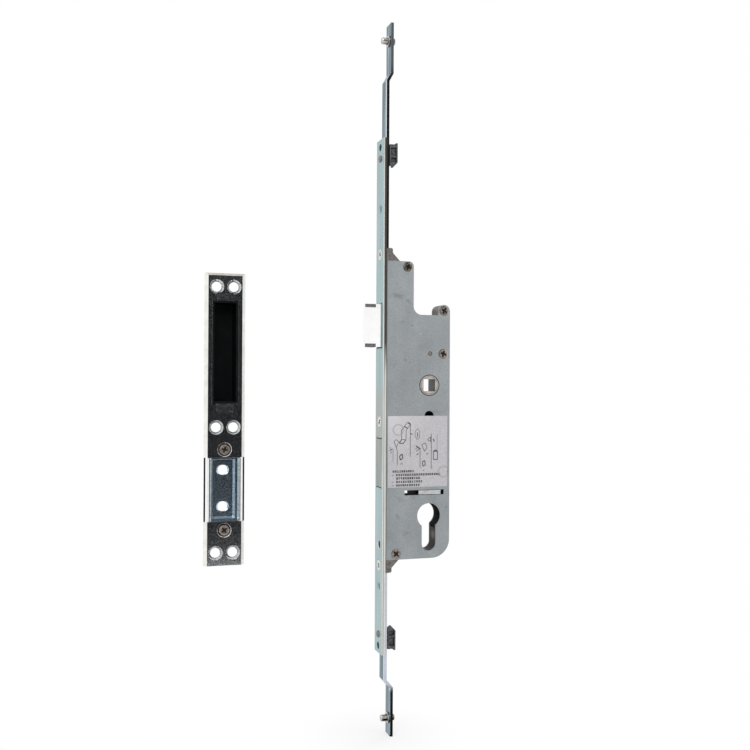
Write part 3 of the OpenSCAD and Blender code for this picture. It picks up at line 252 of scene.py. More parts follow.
# Sheared edges of the rods, with painted reflections set by height: black where they stand for the
# dark surroundings, grey at the upper tip, and a pale painted highlight where the lower rod lies
# behind the faceplate.
painted_rod_edge = metal("sheared_zinc_edge_painted_reflections", "C2C6C6", "D6D7D4", "E8E7E2", 0.5, (0.22, 0.32), 0.5, 0.0,
                metallic=0.35, stretch=(1, 1, 60))
place = add(painted_rod_edge, "SeparateXYZ", {"Vector": add(painted_rod_edge, "TexCoord").outputs["Object"]})
height = add(painted_rod_edge, "MapRange", {"Value": place.outputs["Z"], "From Min": -0.25,
             "From Max": 0.25})
# The first two of these heights, from 0 at the bottom to 1 at the top, are the ends of the range.
feed(painted_rod_edge, Base_Color=add(painted_rod_edge, "ValToRGB", {"Fac": height.outputs["Result"]},
     [(0.073, "17191C"), (0.95, "5A5F64"), (0.08, "C6CDDC"), (0.5, "C6CDDC"), (0.53, "0C0F11"),
      (0.93, "0C0F11")]).outputs["Color"])
# The arris between face and sheared edge: satin and nearly white, a painted highlight.
arris_highlight = metal("zinc_arris_painted_highlight", "C9C8C3", "D8D7D2", "E6E5E1", 1.5, (0.42, 0.55), 0.5, 0.02,
              metallic=0.2)
# The faceplate's sheared edge: a pale satin band in front, painted lighter than the face as painted
# light, and behind it a band painted darker towards the top, split from the front band by a painted
# shadow line.
faceplate_edge_painted = metal("faceplate_edge_painted_light_and_shade", "CCCBC5", "DAD9D3", "E8E7E2", 0.5, (0.3, 0.42), 0.5, 0.0,
                  metallic=0.3, stretch=(1, 1, 60))
place = add(faceplate_edge_painted, "SeparateXYZ", {"Vector": add(faceplate_edge_painted, "TexCoord").outputs["Object"]})
torn_x = -0.034
torn = add(faceplate_edge_painted, "MapRange", {"Value": place.outputs["X"], "From Min": torn_x - 0.00025,
           "From Max": torn_x})
darker_above = add(faceplate_edge_painted, "MapRange", {"Value": place.outputs["Z"], "From Min": 0.006,
           "From Max": 0.03, "To Min": 0.1, "To Max": 0.95})
darker_above = add(faceplate_edge_painted, "Math", {0: torn.outputs["Result"], 1: darker_above.outputs["Result"]},
           operation="MULTIPLY")
shadow_line = stripe(faceplate_edge_painted, place.outputs["X"], torn_x - 0.00005, 0.75, 0.0001, 0.0003)
tint(faceplate_edge_painted, add(faceplate_edge_painted, "Math", {0: darker_above.outputs[0], 1: shadow_line},
     operation="MAXIMUM").outputs[0], "171C1E")
plate = worked("faceplate", zinc, 0.35)
edge_finishes(plate, faceplate_edge_painted, arris_highlight, 7)
# The countersink of the cylinder's screw, given the same painted highlight.
screw_z = (-118, -104)
second_finish(plate, arris_highlight, lambda normal, at: 0.5 < abs(normal.x) < 0.9 and abs(at.y) < 6
              and screw_z[0] < at.z < screw_z[1])

# Guide blocks: dark zinc die castings behind the ends of the faceplate, each held by one rivet
# whose boss stands in the rod's slot, and open at the sides where the ribs are.
dark_casting = metal("dark_zinc_die_casting", "3A3B3D", "555658", "77787A", 1.6, (0.45, 0.62),
                     0.3, 0.25, metallic=0.6)
# Painted shade in its hollows.
paint_hollow_shade(dark_casting, "17191B", 3, 0.35, 0.9)
for node in ("top_guide_block", "bottom_guide_block"):
    worked(node, dark_casting, 0.25)


def solids(node):
    """The lowest and highest corners of each separate solid in a CAD node."""
    shape = bmesh.new()
    shape.from_mesh(frame["nodes"][node].data)
    bmesh.ops.remove_doubles(shape, verts=shape.verts, dist=1e-6)
    left, found = set(shape.verts), []
    while left:
        reach, group = [left.pop()], []
        while reach:
            corner = reach.pop()
            group.append(corner.co.copy())
            for line in corner.link_edges:
                other = line.other_vert(corner)
                if other in left:
                    left.discard(other)
                    reach.append(other)
        found.append([Vector([pick(c[i] for c in group) for i in range(3)]) for pick in (min, max)])
    shape.free()
    return sorted(found, key=lambda corners: -corners[1].z)


def turned(profile, steps, centre, axis):
    """A turned shape: its profile of radius and depth in millimetres, spun round its axis."""
    shape = bmesh.new()
    line = [shape.verts.new((r / 1000, 0, d / 1000)) for r, d in profile]
    edges = [shape.edges.new(pair) for pair in zip(line, line[1:])]
    bmesh.ops.spin(shape, geom=line + edges, cent=(0, 0, 0), axis=(0, 0, 1), dvec=(0, 0, 0),
                   angle=tau, steps=steps, use_merge=True, use_normal_flip=False,
                   use_duplicate=False)
    bmesh.ops.remove_doubles(shape, verts=shape.verts, dist=1e-7)
    bmesh.ops.recalc_face_normals(shape, faces=shape.faces)
    bmesh.ops.transform(shape, verts=shape.verts, matrix=Matrix.Translation(centre) @
                        Vector((0, 0, 1)).rotation_difference(Vector(axis)).to_matrix().to_4x4())
    return shape


# Guide rivets: soft steel, plated with the faceplate, with low domed heads on its front, and
# spread behind the block.
# Hammered steel with its plating worn off: brownish grey, with painted shade round the head.
worn = metal("hammered_steel", "6B6A68", "83817E", "A5A29E", 1.2, (0.3, 0.42), 0.3, 0.08)
paint_hollow_shade(worn, "1D1F20", 1.4, 0.5, 0.95)
for (low, high), where in zip(solids("guide_rivets"), ("upper", "lower")):
    spot = Vector((low.x, 0, (low.z + high.z) / 2))
    length = (high.x - low.x) * 1000
    piece(where + "_guide_rivet", turned(
        [(0, 0), (0.7, 0.03), (1.3, 0.14), (1.8, 0.34), (2.2, 0.66), (2.45, 1.0), (2.5, 1.3),
         (2, 1.31), (2, 3.5), (1.5, 3.6), (1.5, length - 0.9), (2.1, length - 0.8),
         (2.0, length - 0.35), (1.4, length), (0, length)], 48, spot, (1, 0, 0)), worn,
        "lock_case",
        ["guide_rivets"] if where == "upper" else [])

# Drive rods: flat steel strip, cranked at the ends and slotted for every screw they pass, zinc
# plated. A lock case slide hooks into a notch in the edge of each.
# Bright zinc on rolled strip: steel blue, long soft streaks, a little shinier than the bar.
rod_zinc = metal("bright_zinc_strip", "3A555E", "56727C", "8CA2AB", 1.5, (0.2, 0.3), 0.35, 0.02,
                 stretch=(1, 1, 30), spread=(0.36, 0.5, 0.66))
# It carries a painted highlight, nearly white, along the edge next to the cover, but not beyond the
# cranks.
place = add(rod_zinc, "SeparateXYZ", {"Vector": add(rod_zinc, "TexCoord").outputs["Object"]})
edge_y, crank_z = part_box("upper_rod")[0].y, 0.2145
near = add(rod_zinc, "MapRange", {"Value": place.outputs["Y"], "From Min": edge_y + 0.0022,
           "From Max": edge_y + 0.0017, "To Max": 0.85})
height = add(rod_zinc, "Math", {0: place.outputs["Z"]}, operation="ABSOLUTE")
straight = add(rod_zinc, "MapRange", {"Value": height.outputs[0], "From Min": crank_z,
               "From Max": crank_z - 0.0015})
tint(rod_zinc, add(rod_zinc, "Math", {0: near.outputs["Result"], 1: straight.outputs["Result"]},
     operation="MULTIPLY").outputs[0], "E4E6E5")
for node in ("upper_rod", "lower_rod"):
    edge_finishes(worked(node, rod_zinc, 0.35), painted_rod_edge, arris_highlight, 5)

# Rod pins: turned steel with a collar, riveted over behind the rod's tip. An extension rod hooks
# onto each.
# Machined steel, lightly oiled: fine turned rings and a soft shine.
turned_steel = metal("machined_steel", "A5A39E", "C0BDB7", "DAD7D0", 1.6, (0.2, 0.32), 0.3, 0.04)
# Painted shade in its hollows.
paint_hollow_shade(turned_steel, "2C2B2A", 2, 0.3, 0.8)
rivet = 2.6  # length of the riveted head behind the rod
for node, body in (("upper_pin", "upper_drive"), ("lower_pin", "lower_drive")):
    low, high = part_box(node)
    length = (high.x - low.x) * 1000
    pin = piece(node + "_turned", turned(
        [(0, 0), (1.7, 0), (2.0, 0.08), (2.2, 0.25), (2.32, 0.5), (2.4, 1.0), (2.4, 4.1),
         (2.25, 4.2), (2.25, 4.35), (3.7, 4.4), (3.9, 4.55), (3.9, 5.25), (3.75, 5.4), (2.1, 5.4),
         (2.1, length - rivet - 0.02), (2.38, length - rivet), (2.4, length - 0.9),
         (2.2, length - 0.4), (1.7, length - 0.12), (0.9, length - 0.03), (0, length)], 64,
        Vector((low.x, 0, (low.z + high.z) / 2)), (1, 0, 0)), turned_steel, body,
        [node])
    second_finish(pin, worn, lambda normal, at: at.x > high.x * 1000 - rivet - 0.1)

# Case: a pressed steel tray with a flat cover, both zinc plated matt grey, held by six screws.
# The cover is stained by handling and carries the label.
# Matt zinc on rolled sheet: mid grey with faint clouds, a fine orange-peel grain, dark smudges
# of oil and a few white specks of dust.
sheet = bpy.data.materials.new("matt_zinc_sheet")
sheet.use_nodes = True
clouds = grain(sheet, 14, (1, 1, 1.6), 4, 0.55)
base = add(sheet, "ValToRGB", {"Fac": clouds}, [(0.3, "979C9F"), (0.72, "A6ABAD"),
                                               (0.5, "9EA3A6")])
tiny = grain(sheet, 1.1, (1, 1, 1), 3, 0.75)
sand = add(sheet, "ValToRGB", {"Fac": tiny}, [(0.34, "DEDEDE"), (0.66, "FFFFFF")])
sanded = add(sheet, "Mix", {"Factor": 0.8, "A": base.outputs["Color"], "B": sand.outputs["Color"]},
             data_type="RGBA", blend_type="MULTIPLY")
sheen = add(sheet, "MapRange", {"Value": tiny, "To Min": 0.48, "To Max": 0.62})
peel = add(sheet, "Bump", {"Height": tiny, "Strength": 0.2, "Distance": 0.0001})
feed(sheet, Base_Color=sanded.outputs["Result"], Metallic=0.55, Roughness=sheen.outputs["Result"],
     Normal=peel.outputs["Normal"])
# Noise moves each point by up to the stir, so that the smudges' rims are ragged.
place, stir = add(sheet, "TexCoord").outputs["Object"], 0.005
ragged = add(sheet, "VectorMath", {0: add(sheet, "TexNoise", {
    "Vector": place, "Scale": 330.0, "Detail": 4.0}).outputs["Color"],
    1: (stir, stir, stir)}, operation="MULTIPLY")
stirred = add(sheet, "VectorMath", {0: place, 1: ragged.outputs[0]}, operation="ADD")
smudge = None
# Smudges: place across and up, half width, half height, lean in degrees and strength
for x, z, wide, tall, slant, depth in (
        (-23.8, 62.6, 6.5, 3, 0, 0.42), (-15.2, 58.8, 5, 1.1, 35, 0.34),
        (-22, 69, 0.9, 0.6, 0, 0.6), (-20.2, 43.9, 1.5, 0.7, -30, 0.6),
        (-12.7, 41.3, 0.8, 0.7, 0, 0.5), (-18.4, 17.7, 1.2, 1.6, 0, 0.36),
        (-14.6, 16, 1.5, 2, 20, 0.3), (-7.8, 9.5, 1.2, 3.2, 10, 0.26), (-26, 14, 1.1, 5, 20, 0.2),
        (-4, 27, 6, 3, 0, 0.12), (6, -19, 8, 3, 10, 0.16), (-21, -80, 5, 2.4, 20, 0.24),
        (-12, -78.5, 4, 3, 0, 0.18), (-23.5, -92, 1.8, 3.2, -25, 0.34),
        (-15.5, -99, 6, 1.6, 60, 0.16), (-17, -104, 5, 2.6, 0, 0.2),
        (13.8, -86.4, 0.7, 1.4, 0, 0.8)):
    spot = oval(sheet, stirred.outputs[0], (x / 1000 + stir / 2, -0.00425, z / 1000 + stir / 2),
                (wide / 1000, 0.006, tall / 1000), depth, slant=slant)
    smudge = spot if smudge is None else add(sheet, "Math", {0: smudge, 1: spot},
                                             operation="MAXIMUM").outputs[0]
tint(sheet, smudge, "4E5458")
# A painted shadow line where the case meets the faceplate, then the specks of dust.
across = add(sheet, "SeparateXYZ", {"Vector": place}).outputs["X"]
joint_shadow = add(sheet, "MapRange", {"Value": across, "From Min": -0.0321, "From Max": -0.0312,
            "To Min": 0.85, "To Max": 0.0}, interpolation_type="SMOOTHSTEP")
tint(sheet, joint_shadow.outputs["Result"], "24282A")
dust = add(sheet, "TexVoronoi", {"Vector": place, "Scale": 75.0})
dot = add(sheet, "MapRange", {"Value": dust.outputs["Distance"], "From Min": 0.02,
          "From Max": 0.045, "To Min": 0.75, "To Max": 0.0})
tint(sheet, dot.outputs["Result"], "E4E6E6")
# Painted shade in the hollows.
paint_hollow_shade(sheet, "0E0F10", 10, 0.2, 0.62)
# The same zinc drawn over the tray's wall: darker and browner, with upright draw marks.
drawn = metal("drawn_zinc_sheet", "565452", "6B6967", "8A8886", 3, (0.4, 0.55), 0.5, 0.08,
              stretch=(1, 5, 1))
# Painted shade in its hollows.
paint_hollow_shade(drawn, "0E0F10", 10, 0.2, 0.62)
# And inside the tray, behind the works: dark with old oil, and painted dark as the shade inside the
# case.
oil_and_shade_sheet = metal("oiled_zinc_sheet_painted_shade", "303233", "3D3F40", "4C4D4E", 3, (0.45, 0.6), 0.3, 0.05,
                   metallic=0.3)
tray = worked("case_body", sheet, 0.3)
second_finish(tray, drawn, lambda normal, at: abs(normal.y) < 0.8)
inner_face = (5, 6.2)
second_finish(tray, oil_and_shade_sheet, lambda normal, at: normal.y < -0.9
              and inner_face[0] < at.y < inner_face[1])
worked("case_cover", sheet, 0.22)

# Cover screws: countersunk machine screws with a cross recess, nickel plated, six alike. Two of
# them lie under the label.
# Nickel plate on pressed heads: warm grey, shiny, with painted shade in the recess.
nickel = metal("warm_nickel_plate", "6E6761", "877F77", "A59D95", 1.6, (0.2, 0.34), 0.6, 0.03)
paint_hollow_shade(nickel, "1D1A18", 1.2, 0.4, 0.85)
# Painted shade in a recess: black and dull.
recess_shade = metal("recess_painted_shade", "0B0A09", "14110F", "231E1B", 0.8, (0.5, 0.7), 0.3, 0.1,
               metallic=0.0)


def cross_screw(head_r, shank_r, length, recess_r, centre, axis, turn):
    """A countersunk screw with its cross recess, its head's face at the centre."""
    rings, neck = 14, head_r - shank_r
    profile = [(recess_r * 1.15 * i / rings, 0) for i in range(rings + 1)] + [
        (head_r - 0.45, 0), (head_r - 0.18, 0.08), (head_r - 0.42, 0.4),
        (shank_r + 0.08, neck - 0.1), (shank_r, neck + 0.3), (shank_r, length - 0.5),
        (shank_r - 0.4, length), (0, length)]
    shape = turned(profile, 96, (0, 0, 0), (0, 0, 1))
    for corner in shape.verts:
        across, along = corner.co.x * 1000, corner.co.y * 1000
        if corner.co.z * 1000 > 0.01 or hypot(across, along) > recess_r * 1.1:
            continue
        u, v = (across * cos(turn) + along * sin(turn), along * cos(turn) - across * sin(turn))
        deep = 0
        for a, b in ((u, v), (v, u)):
            half_arm = 0.21 * head_r - 0.09 * abs(a)
            wall, end = (half_arm - abs(b)) / (0.05 * head_r), (recess_r - abs(a)) / (0.08 * head_r)
            fall = max(0, min(1, wall)) * max(0, min(1, end))
            deep = max(deep, fall * (1.5 - 0.42 * abs(a)))
        corner.co.z += deep / 1000
    bmesh.ops.recalc_face_normals(shape, faces=shape.faces)
    bmesh.ops.transform(shape, verts=shape.verts, matrix=Matrix.Translation(centre) @
                        Vector((0, 0, 1)).rotation_difference(Vector(axis)).to_matrix().to_4x4())
    return shape


def shade_recess(screw, head, radius):
    """Paints shade into the recess of a screw whose head faces the cover's side at that point."""
    second_finish(screw, recess_shade, lambda normal, at: 0.25 < at.y - head.y * 1000 < 1.7
                  and (at / 1000 - head).xz.length < radius / 1000)


for i, (low, high) in enumerate(solids("cover_screws")):
    spot = Vector(((low.x + high.x) / 2, low.y, (low.z + high.z) / 2))
    screw = piece(f"cover_screw_{i + 1}", cross_screw(3.65, 1.95, 9, 2.4, spot, (0, 1, 0),
                  (0.35, 0.5, 0.3, 0.8, 1.1, 0.78)[i]), nickel, "lock_case",
                  ["cover_screws"] if i == 0 else [])
    shade_recess(screw, spot, 2.5)

# Faceplate screws: countersunk nickel-plated screws, three alike, into the end blocks and the
# centre block. Paler than those of the cover.
pale_nickel = metal("pale_nickel_plate", "C4BFB9", "DAD6D0", "EEEBE6", 1.6, (0.12, 0.22), 0.3,
                     0.05)
# Painted shade in its hollows.
paint_hollow_shade(pale_nickel, "1D1A18", 1.7, 0.5, 0.92)
for i, (low, high) in enumerate(solids("faceplate_screws")):
    spot = Vector((low.x, (low.y + high.y) / 2, (low.z + high.z) / 2))
    piece(f"faceplate_screw_{i + 1}", cross_screw(4, 2, (high.x - low.x) * 1000, 2.4, spot,
          (1, 0, 0), (0.2, 0.9, 0.6)[i]), pale_nickel, "lock_case",
          ["faceplate_screws"] if i == 0 else [])

# End blocks and centre block: zinc die castings, left as cast. The blocks take the faceplate
# screws and reach into the case, where the cover screws hold them.
# Raw zinc casting: brownish grey, dull, with a fine sandy skin.
casting = metal("raw_zinc_die_casting", "615C5A", "746F6D", "8A8583", 2.2, (0.5, 0.64), 0.3, 0.2,
                metallic=0.7)
# Painted shade in its hollows.
paint_hollow_shade(casting, "141414", 8, 0.2, 0.6)
for node in ("top_end_block", "bottom_end_block", "centre_block"):
    worked(node, casting, 0.3)

# Cylinder cradle: cast lining round the stem of the cylinder hole, screwed up by the cylinder's
# retaining screw.
# The same alloy under a dark oil film, painted nearly black as the shade in the hole, with a
# painted highlight band up its middle.
shaded_cradle = metal("oiled_zinc_casting_painted_shade_and_highlight", "040404", "090909", "141312", 2.0, (0.4, 0.55), 0.3, 0.12,
              metallic=0.0)
feed(shaded_cradle, Specular_IOR_Level=0.12)
place = add(shaded_cradle, "TexCoord").outputs["Object"]
tint(shaded_cradle, oval(shaded_cradle, place, (0.005, -0.001, -0.1062), (0.006, 0.006, 0.0048), 1, 0.1), "7A716A")
worked("cylinder_cradle", shaded_cradle, 0.2)

# Follower: tumbled zinc casting that turns in the case plates. The spindle goes through its
# square socket, and its arm pushes the drive.
# Tumbled zinc: warm pale grey with a soft shine, and two dark rings round the socket.
tumbled = metal("tumbled_zinc_casting", "A39D96", "B5AFA8", "C8C2BB", 2.0, (0.28, 0.4), 0.3, 0.06)
hub = add(tumbled, "VectorMath", {0: add(tumbled, "TexCoord").outputs["Object"], 1: (1, 0, 1)},
          operation="MULTIPLY")
hub = add(tumbled, "VectorMath", {0: hub.outputs[0]}, operation="LENGTH").outputs["Value"]
for radius, wide, depth in ((0.0074, 0.0008, 0.95), (0.0061, 0.0004, 0.5)):
    tint(tumbled, stripe(tumbled, hub, radius, depth, wide * 0.3, wide), "2A2927")
paint_hollow_shade(tumbled, "2B2D2E", 8, 0.3, 0.7)
# Its socket, broached and oiled, painted dark grey as the shade inside it.
shaded_socket = metal("broached_zinc_painted_shade", "2C2E2F", "3A3C3D", "505253", 1.2, (0.35, 0.5), 0.3, 0.05,
                 metallic=0.3)
second_finish(worked("follower", tumbled, 0.4, 3), shaded_socket,
              lambda normal, at: abs(normal.y) < 0.3 and at.xz.length < 5)

# Latch: cast and nickel-plated head, bevelled on the closing side, with textured plastic pads in
# its top and bottom. A spring pushes it out and the lever draws it in.
# Bright nickel: almost white, mirror-like but softened by the casting under it.
bright = metal("bright_nickel_plate", "F9F9F8", "FBFBFA", "FDFDFD", 6, (0.05, 0.1), 0.4, 0.0)
worked("latch_bolt", bright, 0.35, 3)
# Moulded dark plastic with a sparked texture: mid grey, matt, visibly grainy.
textured = metal("textured_dark_plastic", "3C3D3E", "5A5B5C", "808181", 0.8, (0.55, 0.75), 0.35,
                 0.5, metallic=0.0)
worked("latch_pads", textured, 0.15)

# Deadbolt: nickel-plated steel plate that the cylinder's cam throws, with a flat tail riveted
# into its slot.
# Nickel over ground steel: neutral grey with lengthwise grinding marks.
ground_nickel = metal("nickel_on_ground_steel", "7E8480", "959A96", "A9ADA9", 1.2, (0.26, 0.36),
                      0.6, 0.02, stretch=(1, 1, 40))
# Painted shade in its hollows.
paint_hollow_shade(ground_nickel, "202222", 1.5, 0.3, 0.85)
worked("deadbolt", ground_nickel, 0.3)

# Works inside the case: stamped slides and levers, turned pins and posts, a milled pinion and
# wire springs. They show only through the openings, so their own CAD shapes stay.
# Stamped bright steel: cool grey with a directional rolling grain.
stamped = metal("stamped_steel", "A5A8AA", "BFC1C2", "DADBDB", 1.4, (0.22, 0.36), 0.3, 0.05,
                stretch=(4, 1, 1))
# Painted shade in its hollows.
paint_hollow_shade(stamped, "0A0A0B", 8, 0.45, 0.75)
# Oil and painted shade on the parts of the tail that lie deeper than its guide.
second_finish(worked("deadbolt_tail", stamped, 0.3), recess_shade,
              lambda normal, at: at.y > -3.5)
# Oiled spring wire: dark, smooth, slightly blue.
wire = metal("oiled_spring_wire", "3A3D41", "54575B", "72757A", 0.8, (0.2, 0.34), 0.2, 0.03)
# Yellow-passivated milled steel: straw coloured and softly shining.
straw = metal("yellow_passivated_steel", "8E8560", "AFA57C", "C9C19C", 1.5, (0.25, 0.4), 0.25,
              0.05)
for finish, nodes in ((stamped, ("lower_slide", "upper_slide", "latch_tail", "latch_lever",
                                 "spring_stop")),
                      (turned_steel, ("spacer_posts", "pinion_axle", "drive_pin", "tail_rivets")),
                      (wire, ("follower_spring", "drag_spring")),
                      (straw, ("reversing_pinion",))):
    for node in nodes:
        frame["nodes"][node].data.materials.clear()
        frame["nodes"][node].data.materials.append(finish)

# Latch spring: cut in half, one half on the latch and one on its stop, so that it shortens as the
# latch draws in. The front half is turned so that its coils then lie between those of the other.
low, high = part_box("latch_spring")
middle, between = (low + high) / 2, 209.4
for end, side, turn, body, stands_for in (("front", 1, between, "latch", []),
                                          ("rear", -1, 0, "lock_case", ["latch_spring"])):
    half = bmesh.new()
    half.from_mesh(frame["nodes"]["latch_spring"].data)
    cut = bmesh.ops.bisect_plane(half, geom=half.verts[:] + half.edges[:] + half.faces[:],
                                 plane_co=(middle.x, 0, 0), plane_no=(side, 0, 0),
                                 clear_outer=True)
    bmesh.ops.holes_fill(half, edges=[e for e in cut["geom_cut"]
                                      if isinstance(e, bmesh.types.BMEdge)])
    bmesh.ops.rotate(half, verts=half.verts, cent=middle,
                     matrix=Matrix.Rotation(radians(turn), 3, "X"))
    piece("latch_spring_" + end, half, wire, body, stands_for)

# Lever pivot: small turned pin riveted into both plates, its end domed beside a cover screw.
low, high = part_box("lever_pivot")
length, radius = (high.y - low.y) * 1000, (high.x - low.x) * 500
piece("lever_pivot_riveted", turned(
    [(0, 0), (0.5, 0.02), (0.8, 0.1), (1.0, 0.3), (1.05, 0.55), (radius - 0.05, 0.6),
     (radius, 0.8), (radius, length - 0.42), (1.3, length - 0.2), (1.0, length - 0.06),
     (0.6, length - 0.01), (0, length)], 40,
    Vector(((low.x + high.x) / 2, low.y, (low.z + high.z) / 2)), (0, 1, 0)), nickel,
    "lock_case", ["lever_pivot"])

# Label: a plain matt film stuck over the cover and over two of its screws, which press through
# as rings. Its print is a generic sketch with rows of bars in place of words.
low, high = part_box("label")
film_y = high.y - 0.00002


def film(x, z):
    """The depth of the film's face there, with its creases and the two screws' rings."""
    u, v = x * 1000, z * 1000
    lift = 0.045 + 0.02 * sin(0.9 * u + 0.4 * v) * sin(0.35 * v) + 0.012 * sin(2.3 * u - 1.1 * v)
    for at_x, at_z in rings:
        away = hypot(u - at_x, v - at_z)
        lift += 0.07 * exp(-((away - ring_r) / 0.4) ** 2) - 0.03 * exp(-(away / 2.4) ** 2)
    return film_y - min(0.13, max(0.02, lift)) / 1000


rings = [((a.x + b.x) * 500, (a.z + b.z) * 500) for a, b in solids("cover_screws")
         if low.z < (a.z + b.z) / 2 < high.z]
ring_r = 3.7
shape = bmesh.new()
bmesh.ops.create_grid(shape, x_segments=110, y_segments=124, size=0.5)
for corner in shape.verts:
    x = low.x + (corner.co.x + 0.5) * (high.x - low.x)
    z = low.z + (corner.co.y + 0.5) * (high.z - low.z)
    corner.co = (x, film(x, z), z)
rim = [e for e in shape.edges if len(e.link_faces) == 1]
walls = bmesh.ops.extrude_edge_only(shape, edges=rim)["geom"]
for corner in walls:
    if isinstance(corner, bmesh.types.BMVert):
        corner.co.y = high.y
bmesh.ops.recalc_face_normals(shape, faces=shape.faces)
if sum(f.normal.y * f.calc_area() for f in shape.faces) > 0:
    bmesh.ops.reverse_faces(shape, faces=shape.faces)
# Matt printed film: pale lilac grey with a fine grain, painted lighter at its top left corner as
# painted light, and with painted shade in rings where it is pressed over the two screws.
film_finish = metal("matt_printed_film", "ADABAF", "B7B5B9", "C1BFC3", 0.9, (0.42, 0.55), 0.5, 0.04,
                    metallic=0.0)
place = add(film_finish, "TexCoord").outputs["Object"]
away = add(film_finish, "VectorMath", {0: place, 1: (low.x, low.y, high.z)}, operation="DISTANCE")
lit_corner = add(film_finish, "MapRange", {"Value": away.outputs["Value"], "From Max": 0.03,
               "To Min": 0.55, "To Max": 0.0})
tint(film_finish, lit_corner.outputs["Result"], "D9D7D9")
for at_x, at_z in rings:
    away = add(film_finish, "VectorMath", {0: place, 1: (at_x / 1000, low.y, at_z / 1000)},
               operation="DISTANCE")
    ring_shade = stripe(film_finish, away.outputs["Value"], ring_r / 1000, 0.55, 0.0002, 0.0009)
    tint(film_finish, ring_shade, "958F8C")
piece("label_film", shape, film_finish, "lock_case", ["label"], 60, False)

# Print on the label: dark grey ink, printed on the film and lying just on its surface.
# Screen ink: nearly black, matt, a little thin in places.
ink = metal("printing_ink", "1C1C1F", "26262A", "3A3A3F", 0.8, (0.5, 0.6), 0.2, 0.02, metallic=0.0)
shape = bmesh.new()


def stroke(x0, z0, x1, z1, wide=0.42):
    """One printed stroke on the label, its ends in millimetres."""
    span, heading = hypot(x1 - x0, z1 - z0), atan2(z1 - z0, x1 - x0)
    made = bmesh.ops.create_grid(shape, x_segments=max(1, int(span / 0.8)), y_segments=1, size=0.5,
                                 matrix=Matrix.Translation(((x0 + x1) / 2, (z0 + z1) / 2, 0)) @
                                 Matrix.Rotation(heading, 4, "Z") @
                                 Matrix.Diagonal((span, wide, 1, 1)))["verts"]
    for corner in made:
        x, z = corner.co.x / 1000, corner.co.y / 1000
        corner.co = (x, film(x, z) - 0.00001, z)


# Rows of bars in place of words: where each row starts and stops, in millimetres.
seed, top_row, row_pitch = 7, -60.4, 2.43
for row, (start, stop) in enumerate(((-27.2, -11.8), (-24.6, 8.1), (-24.4, -7.3), (-24.6, -5),
                                     (-24.6, -8))):
    z, x = top_row - row * row_pitch, start
    if row in (1, 3, 4):
        stroke(-27.6, z - 0.1, -26.5, z - 0.1)
    while x < stop:
        seed = (seed * 37 + 11) % 101
        long = 1.05 + 0.25 * seed / 101
        for lift in ((-0.55, 0.0, 0.55), (-0.5, 0.5), (-0.2, 0.6))[seed % 3]:
            stroke(x, z + lift, x + long, z + lift)
        for along in ((0.15, 0.85), (0.5,), (0.3, 0.9))[(seed + row) % 3]:
            stroke(x + long * along, z - 0.8, x + long * along, z + 0.8, 0.46)
        x += long + 0.5
# Sketch lines: width, and the points that each runs through, in millimetres.
for wide, *corners in (
        (0.4, (-20.8, -31.6), (-16.4, -26.2), (-13.8, -27.4), (-17.2, -31.4), (-17.4, -38.4),
         (-20.6, -38), (-20.8, -31.6)),
        (0.7, (-18.6, -29), (-16, -30.4)),
        (0.9, (-15.8, -26.2), (-14, -27.6)),
        (0.6, (-20.6, -38), (-22.4, -40.6), (-19.4, -40.8), (-17.4, -38.4)),
        (0.4, (-26.2, -39.6), (-24.8, -38), (-22.9, -39.4), (-24.4, -43.6), (-26.2, -39.6)),
        (0.4, (-24.6, -43), (-23.8, -46), (-23.8, -55.6)),
        (0.24, (-26.9, -44.6), (-26.9, -53.6)),
        (0.4, (-14.2, -27.8), (-14.2, -50.2)),
        (0.6, (-14.2, -34), (-12.4, -34.6)),
        (0.3, (-10.6, -32.6), (-8.8, -30.8), (-7, -32.6), (-7.4, -37), (-9.2, -38.2),
         (-10.6, -35.4), (-10.6, -32.6)),
        (0.5, (-9, -33), (-8.6, -36.6)),
        (0.4, (-6.8, -45.6), (-6.8, -58)),
        (0.4, (-5.6, -42), (-3, -40.6), (-1.6, -44), (-3.4, -46.6), (-5.6, -42)),
        (0.4, (1.6, -34.4), (1.6, -59)),
        (0.24, (6, -34), (6, -46)),
        (0.5, (3.2, -46.8), (6.4, -46.8), (6.4, -52.6), (3.2, -52.6), (3.2, -46.8)),
        (0.7, (3.4, -46.6), (4.8, -45.8), (6.2, -46.6)),
        (0.4, (-1.2, -38.6), (1, -36.4), (1.2, -39.8), (-1.2, -38.6)),
        (0.8, (3, -38), (4, -40)),
        (0.7, (-22, -49.6), (-20.2, -48.2), (-19.6, -51), (-21.6, -52.4), (-22, -49.6)),
        (0.3, (-21.6, -55.6), (-20.4, -54.4), (-19.8, -55.6)),
        (0.6, (-5, -54), (-3.4, -53), (-2.8, -56), (-4.6, -57.2), (-5, -54)),
        (0.4, (-4.6, -59.6), (-3.6, -60.4)),
        (0.7, (-10, -42.6), (-6.4, -45)),
        (0.5, (-9.6, -46.4), (-7, -44.6)),
        (0.3, (-10.4, -45), (-8.6, -43.8)),
        (0.6, (-9.4, -49), (-8, -48)),
        (0.9, (-1.8, -48), (-1.2, -48.6)),
        (0.6, (-29.4, -45.6), (-27.4, -44.6)),
        (0.4, (-29.6, -44), (-28.6, -43.6)),
        (0.4, (-28.8, -47.4), (-27.6, -46.6))):
    for (x0, z0), (x1, z1) in zip(corners, corners[1:]):
        stroke(x0, z0, x1, z1, wide)
bmesh.ops.recalc_face_normals(shape, faces=shape.faces)
for face in shape.faces:
    if face.normal.y > 0:
        face.normal_flip()
piece("label_print", shape, ink, "lock_case", smooth=180, weighted=False)

